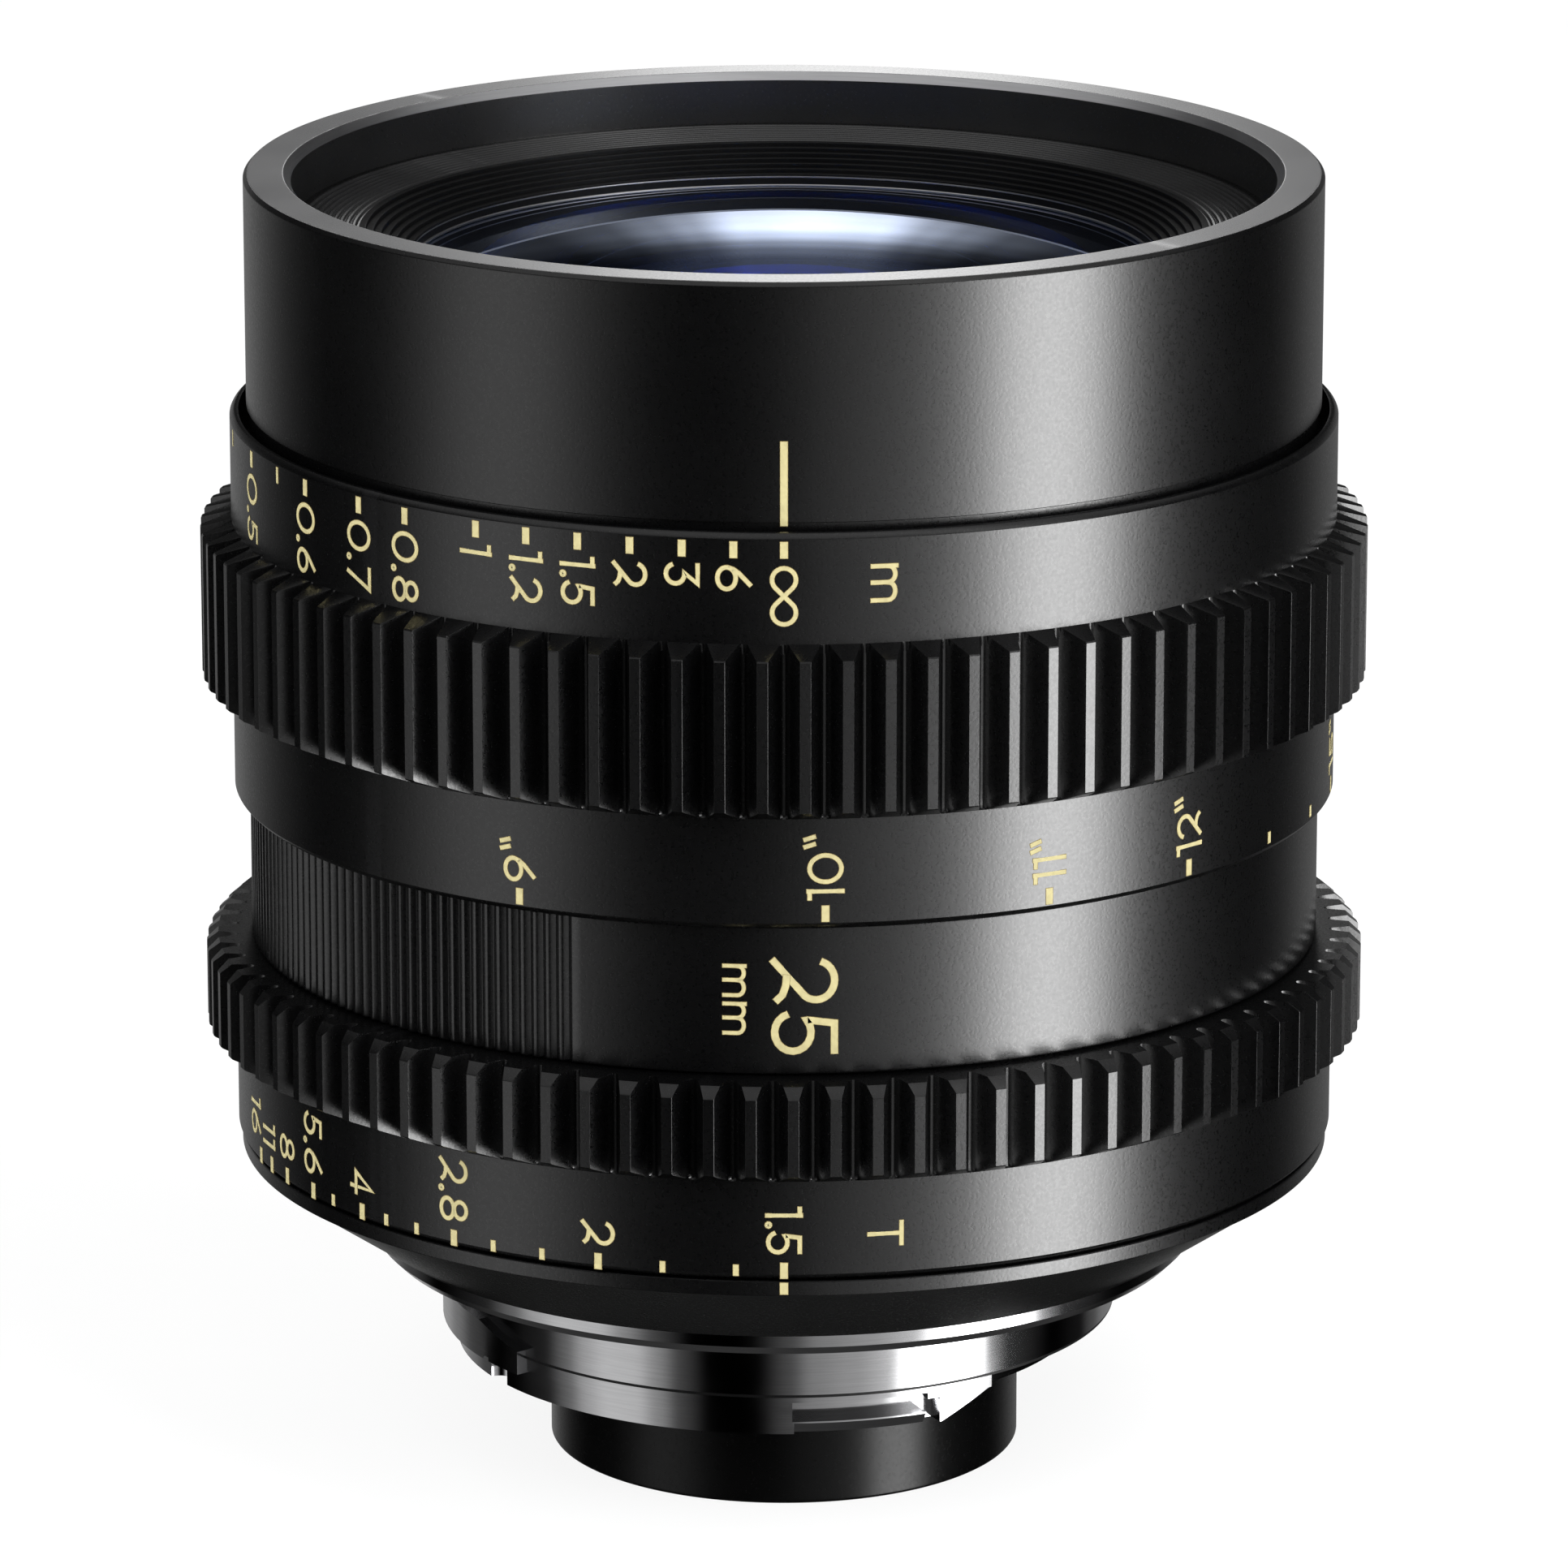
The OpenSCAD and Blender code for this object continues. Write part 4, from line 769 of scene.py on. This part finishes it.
class Marks:
    """The marks of one ring: collects strokes, then makes a fill piece and a piece of painted shade round
    it.
    """

    def __init__(self, name, wall_r, body):
        self.name = name
        self.wall_r = wall_r
        self.body = body
        self.fill = ([], [])
        self.groove = ([], [])

    def stroke(self, points, closed, width, place):
        # Each stroke also gets a wider, lower copy in the darker paint: painted shade round the fill.
        for store, extra, lift in ((self.fill, 0.0, FILL_LIFT), (self.groove, SHADE_RIM_W, SHADE_RIM_LIFT)):
            line = points
            if extra and not closed:
                first = Vector(points[0]) + (Vector(points[0]) - Vector(points[1])).normalized() * extra
                last = Vector(points[-1]) + (Vector(points[-1]) - Vector(points[-2])).normalized() * extra
                line = [tuple(first)] + list(points[1:-1]) + [tuple(last)]
            left, right = ribbon(line, closed, width + 2 * extra)
            verts, faces = stroke_shape(left, right, closed, place, lift, MARK_FOOT)
            base = len(store[0])
            store[0].extend(verts)
            store[1].extend(tuple(base + i for i in face) for face in faces)

    def placer(self, az, z, turn):
        """Maps text points (along, up) to the wall, in one of the three reading directions."""
        def place(point, lift):
            along, up = point
            ways = {UPRIGHT: (along, up), READ_DOWN: (up, -along), READ_UP: (-up, along)}
            across, height = ways[turn]
            return at(self.wall_r + lift, az + math.degrees(across / self.wall_r), z + height)
        return place

    def tick(self, az, z, width, length):
        place = self.placer(az, z, UPRIGHT)
        self.stroke([(0, -length / 2), (0, 0), (0, length / 2)], False, width, place)

    def text(self, text, az, z, turn, size=CAP_H, width=STROKE):
        """Writes text from height z, with the middle of its capitals on an azimuth."""
        gap = LETTER_GAP * size
        along = 0.0
        for char in text:
            advance, strokes = glyph(char)
            for points, closed in strokes:
                line = [(along + x * size, (y - 0.5) * size) for x, y in points]
                self.stroke(line, closed, width, self.placer(az, z, turn))
            along += advance * size + gap

    def finish(self):
        add_piece(self.name + "_fill", self.fill, FILL, self.body)
        add_piece(self.name + "_groove", self.groove, MARK_SHADE, self.body)


def make_metre_scale():
    """Focus distances in metres, spaced by their reciprocal; long labels are made smaller."""
    far, near = 29.3, 0.0859
    tick_z = RIM_Z - 16.0
    text_z = tick_z - 0.9
    text_room = text_z - FOCUS_UP_Z - 0.25
    fine_w = 0.28
    labels = ("6", "3", "2", "1.5", "1.2", "1", "0.8", "0.7", "0.6", "0.5", "0.4", "0.35", "0.3", "0.27",
              "0.25")
    scale = Marks("metre_scale", FOCUS_R, "focus")
    scale.tick(0, tick_z, TICK_W, TICK_L)
    scale.text("i", 0, text_z, READ_DOWN)
    for text in labels:
        az = -far / (float(text) - near)
        scale.tick(az, tick_z, TICK_W, TICK_L)
        size = min(CAP_H, text_room / text_length(text))
        scale.text(text, az, text_z, READ_DOWN, size)
    for distance in (0.55, 0.45, 0.375, 0.325, 0.285, 0.26):
        scale.tick(-far / (distance - near), tick_z, fine_w, TICK_L)
    scale.text("m", 10.4, text_z, READ_DOWN)
    scale.finish()


def make_inch_scale():
    """Focus distances in inches."""
    tick_z = RIM_Z - 38.5
    text_z = tick_z + 0.85
    labels = (
        ('9"', -27.3), ('10"', 4.1), ('11"', 27.4), ('12"', 45.2), ('15"', 81.3),
        ('18"', 103.0), ('24"', 127.0), ('36"', 146.0), ('60"', 161.0), ("i", 180.0))
    scale = Marks("inch_scale", FOCUS_R, "focus")
    for text, az in labels:
        scale.tick(az, tick_z, TICK_W, TICK_L)
        scale.text(text, az, text_z, READ_UP)
    for az in (59.3, 70.4, 92.5, 116.0):
        scale.tick(az, tick_z, SHORT_TICK_W, SHORT_TICK_L)
    scale.finish()


def make_iris_scale():
    """Aperture stops; the last two labels stand a little aside of their ticks."""
    tick_z = RIM_Z - 61.0
    text_gap = 1.0
    stops = (
        ("1.5", 0.0, 0.0), ("2", -18.9, 0.0), ("2.8", -35.4, 0.0), ("4", -48.3, 0.0),
        ("5.6", -57.0, 0.0), ("8", -62.8, 0.0), ("11", -67.0, -0.8), ("16", -70.5, -1.8))
    scale = Marks("iris_scale", IRIS_R, "iris")
    for text, az, aside in stops:
        scale.tick(az, tick_z, TICK_W, TICK_L)
        length = text_length(text) * CAP_H
        scale.text(text, az + aside, tick_z + text_gap + length, READ_DOWN)
    for az in (-4.8, -12.2, -25.0, -30.6, -40.3, -44.6, -53.2):
        scale.tick(az, tick_z, SHORT_TICK_W, SHORT_TICK_L)
    scale.text("T", 10.2, RIM_Z - 58.0, READ_DOWN)
    scale.finish()


def make_fixed_marks():
    """Index lines and the focal length."""
    index = Marks("front_index", FRONT_R, "optics")
    index.tick(0, RIM_Z - 12.2, width=0.43, length=5.15)
    index.finish()

    low_index = Marks("iris_index", INDEX_R, "barrel")
    low_index.tick(0, (INDEX_Z + INDEX_TOP) / 2 + 0.02, width=0.48, length=0.74)
    low_index.finish()

    title = Marks("focal_length", MID_R, "barrel")
    title.text("25", 2.1, MID_TOP - 1.75, READ_DOWN, size=4.3, width=0.42)
    title.text("mm", -4.6, MID_TOP - 2.3, READ_DOWN, size=2.0, width=0.22)
    title.tick(180, MID_TOP - 0.75, width=0.57, length=1.2)
    title.finish()


# Stage
FLOOR_HALF = 4000
FLOOR_GAP = 0.02
LAMP_SIZE = 700
LAMP_AIM = Vector((0, 0, 30))
TENT_R = 700
TENT_TOP_R = 450
TENT_LOW = -700
TENT_SHOULDER = 1000
TENT_HIGH = 1300
TENT_SIDES = 120
TENT_POWER = 9.0
BACK_POWER = 3.0
TENT_STOPS = (
    (-180, 0.04), (-156, 0.04), (-142, 0.025), (-128, 0.008), (-112, 0.0), (-90, 0.002), (-80, 0.02),
    (-72, 0.06), (-64, 0.085), (-52, 0.08), (-44, 0.04), (-36, 0.008), (-26, 0.0), (-8, 0.0), (2, 0.01),
    (10, 0.035), (24, 0.05), (36, 0.08), (43, 0.3), (47, 0.9), (53, 1.0), (61, 1.0), (66, 0.9),
    (70, 0.35), (75, 0.04), (83, 0.004), (106, 0.0), (124, 0.001), (134, 0.01), (146, 0.025), (180, 0.03))
TENT_FADE = ((TENT_LOW, 0.0), (-460, 0.0), (-330, 1.0), (40, 1.0), (240, 0.1), (TENT_HIGH, 0.05))
ROOF_GLOW = ((TENT_LOW, 0.005), (-420, 0.0), (500, 0.0), (1000, 0.04), (TENT_HIGH, 0.045))


def joined(tree, kind, first, second):
    """A math node over an output and a second output or a number."""
    node = tree.nodes.new("ShaderNodeMath")
    node.operation = kind
    tree.links.new(first, node.inputs[0])
    if isinstance(second, float):
        node.inputs[1].default_value = second
    else:
        tree.links.new(second, node.inputs[1])
    return node.outputs[0]


def seen_directly(tree):
    """One for camera, mirror and glass rays, else nought."""
    path = tree.nodes.new("ShaderNodeLightPath").outputs
    sharp = joined(tree, "MAXIMUM", path["Is Camera Ray"], path["Is Glossy Ray"])
    return joined(tree, "MAXIMUM", sharp, path["Is Transmission Ray"])


def make_world():
    """White world that lights the lens less than it shows."""
    world = bpy.data.worlds.new("studio")
    bpy.context.scene.world = world
    world.use_nodes = True
    tree = world.node_tree
    shown = tree.nodes["Background"]
    shown.inputs["Color"].default_value = (1, 1, 1, 1)
    shown.inputs["Strength"].default_value = 1.0
    lit = add_node(tree, "ShaderNodeBackground", Color=(1, 1, 1, 1), Strength=0.55)
    mix_shaders(tree, seen_directly(tree), lit.outputs[0], shown.outputs[0], "World Output")


def stage_piece(name, verts, faces):
    """A surface of the stage, which isn't part of the lens."""
    mesh = bpy.data.meshes.new(name)
    mesh.from_pydata([tuple(c * MM for c in v) for v in verts], [], faces)
    piece = bpy.data.objects.new(name, mesh)
    bpy.context.scene.collection.objects.link(piece)
    return piece


def make_floor():
    """White floor that glows in direct view, so that it fades into the world."""
    floor_z = SHROUD_LOW.z - FLOOR_GAP
    corners = ((-FLOOR_HALF, -FLOOR_HALF), (FLOOR_HALF, -FLOOR_HALF), (FLOOR_HALF, FLOOR_HALF),
               (-FLOOR_HALF, FLOOR_HALF))
    floor = stage_piece("floor", [(x, y, floor_z) for x, y in corners], [(0, 1, 2, 3)])
    material, tree, shader = new_material("floor_white")
    speck = object_noise(tree, scale=60, detail=3)
    tree.links.new(ramp(tree, speck.outputs["Fac"], 0.86, 0.9), shader.inputs["Base Color"])
    tree.links.new(ramp(tree, speck.outputs["Fac"], 0.8, 0.9), shader.inputs["Roughness"])
    shader.inputs["Specular IOR Level"].default_value = 0.0
    glow = add_node(tree, "ShaderNodeEmission", Color=(1, 1, 1, 1), Strength=1.0)
    share = joined(tree, "MULTIPLY", seen_directly(tree), 0.85)
    mix_shaders(tree, share, shader.outputs[0], glow.outputs[0], "Material Output")
    floor.data.materials.append(material)
    floor.visible_glossy = False


def make_lamp(name, place, power):
    """A square soft lamp that points at the middle of the lens."""
    light = bpy.data.lights.new(name, "AREA")
    light.size = LAMP_SIZE * MM
    light.energy = power
    piece = bpy.data.objects.new(name, light)
    bpy.context.scene.collection.objects.link(piece)
    piece.location = Vector(place) * MM
    aim = LAMP_AIM * MM - piece.location
    piece.rotation_euler = aim.to_track_quat("-Z", "Y").to_euler()
    piece.visible_glossy = False


def ramp_of(tree, source, stops, low, high):
    """Grey ramp over an output; the first stop lies at its low value, the last at its high one."""
    spread = add_node(tree, "ShaderNodeMapRange", From_Min=low, From_Max=high)
    node = tree.nodes.new("ShaderNodeValToRGB")
    node.color_ramp.interpolation = "EASE"
    ends = node.color_ramp.elements
    while len(ends) < len(stops):
        ends.new(0.5)
    first, last = stops[0][0], stops[-1][0]
    for end, (place, value) in zip(ends, stops):
        end.position = (place - first) / (last - first)
        end.color = (value, value, value, 1)
    tree.links.new(source, spread.inputs["Value"])
    tree.links.new(spread.outputs[0], node.inputs["Fac"])
    return node.outputs["Color"]


def card(name, verts, faces):
    """A stage surface for mirrors and glass only; gives its material's tree and its own coordinates."""
    piece = stage_piece(name, verts, faces)
    piece.visible_camera = False
    piece.visible_diffuse = False
    piece.visible_shadow = False
    material = bpy.data.materials.new(name + "_cloth")
    material.use_nodes = True
    tree = material.node_tree
    tree.nodes.remove(tree.nodes["Principled BSDF"])
    piece.data.materials.append(material)
    place = tree.nodes.new("ShaderNodeTexCoord")
    split = tree.nodes.new("ShaderNodeSeparateXYZ")
    tree.links.new(place.outputs["Object"], split.inputs[0])
    return tree, split.outputs


def shine(tree, source, power):
    """Ends a card's material in a glow."""
    glow = add_node(tree, "ShaderNodeEmission", Strength=power)
    tree.links.new(source, glow.inputs["Color"])
    tree.links.new(glow.outputs[0], tree.nodes["Material Output"].inputs["Surface"])


def make_tent():
    """Dark cards round the lens with a bright strip right and a weak one left."""
    outline = [(1, TENT_LOW), (TENT_R, TENT_LOW), (TENT_R, 0), (TENT_R, TENT_SHOULDER),
               (TENT_TOP_R, TENT_HIGH), (1, TENT_HIGH)]
    tree, place = card("tent", *turned(outline, TENT_SIDES, closed=False))
    forward = joined(tree, "MULTIPLY", place["Y"], -1.0)
    azimuth = joined(tree, "ARCTAN2", place["X"], forward)
    bands = ramp_of(tree, azimuth, TENT_STOPS, -math.pi, math.pi)
    fade = ramp_of(tree, place["Z"], TENT_FADE, TENT_LOW * MM, TENT_HIGH * MM)
    roof = ramp_of(tree, place["Z"], ROOF_GLOW, TENT_LOW * MM, TENT_HIGH * MM)
    walls = joined(tree, "MULTIPLY", bands, fade)
    shine(tree, joined(tree, "ADD", walls, roof), TENT_POWER)


def make_back_light():
    """Soft spot behind the lens that shows in the glass and along the rim."""
    half_w, low_z, high_z, back_y, centre = 220, 40, 440, 640, 8
    across = ((-half_w, 0.01), (-80, 0.02), (-60, 0.06), (-46, 0.17), (-36, 0.3), (-20, 0.85), (0, 1.0),
              (20, 0.85), (36, 0.3), (46, 0.17), (60, 0.06), (80, 0.02), (half_w, 0.01))
    upward = ((low_z, 0.1), (110, 0.34), (155, 0.65), (190, 0.83), (220, 1.0), (250, 0.7), (278, 0.28),
              (300, 0.13), (330, 0.06), (high_z, 0.04))
    corners = ((-half_w, low_z), (half_w, low_z), (half_w, high_z), (-half_w, high_z))
    verts = [(x + centre, back_y, z) for x, z in corners]
    tree, place = card("back_light", verts, [(0, 1, 2, 3)])
    side = ramp_of(tree, place["X"], across, (centre - half_w) * MM, (centre + half_w) * MM)
    rise = ramp_of(tree, place["Z"], upward, low_z * MM, high_z * MM)
    shine(tree, joined(tree, "MULTIPLY", side, rise), BACK_POWER)


def make_camera():
    """Camera at the photograph's viewing angle."""
    data = bpy.data.cameras.new("camera")
    data.sensor_width = 36.0
    data.lens = 218.53
    data.clip_start = 0.01
    data.clip_end = 20.0
    camera = bpy.data.objects.new("camera", data)
    bpy.context.scene.collection.objects.link(camera)
    camera.location = (0.0, -0.583966, 0.189593)
    camera.rotation_euler = (math.radians(74.66578), 0.0, 0.0)
    bpy.context.scene.camera = camera


# Materials of the CAD nodes that stay as they are
NODE_MATERIALS = {
    "black_anodised": BLACK, "inner_black": INNER, "baffle_grey": BAFFLE, "chrome": CHROME, "steel": STEEL,
    "blade_black": BLADE, "bronze": BRONZE, "coated_glass": INNER_GLASS}


def dress_nodes():
    """Gives each remaining CAD node the material of its slot."""
    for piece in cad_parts.values():
        slot = next((s.material.name.split(".")[0] for s in piece.material_slots if s.material), "")
        material = NODE_MATERIALS.get(slot, INNER)
        piece.data.materials.clear()
        piece.data.materials.append(material)
    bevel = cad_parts["bayonet_mount"].modifiers.new("edges", "BEVEL")
    bevel.width = 0.04 * MM
    bevel.segments = 2
    bevel.limit_method = "ANGLE"
    bevel.angle_limit = math.radians(35)
    bevel.harden_normals = True


make_camera()
make_world()
make_floor()
make_tent()
make_back_light()
make_lamp("key", (520, -420, 620), power=16.0)
make_lamp("fill", (-560, -360, 480), power=8.0)
dress_nodes()
make_front_barrel()
make_baffle()
make_retainer()
make_highlight_rings()
make_groove_shade_ring()
make_index_ring()
make_lens("front_element", FRONT_GLASS, front=(105, 25.5), back=(-34, 18.5))
make_lens("second_element", INNER_GLASS, front=(-60, 18.5), back=(-45, 14.5))
make_lens("third_element", INNER_GLASS, front=(45, 14.5), back=(60, 13.4))
make_focus_ring()
make_iris_ring()
make_mid_barrel()
make_shroud()
make_metre_scale()
make_inch_scale()
make_iris_scale()
make_fixed_marks()

bpy.context.scene.view_settings.view_transform = "Standard"
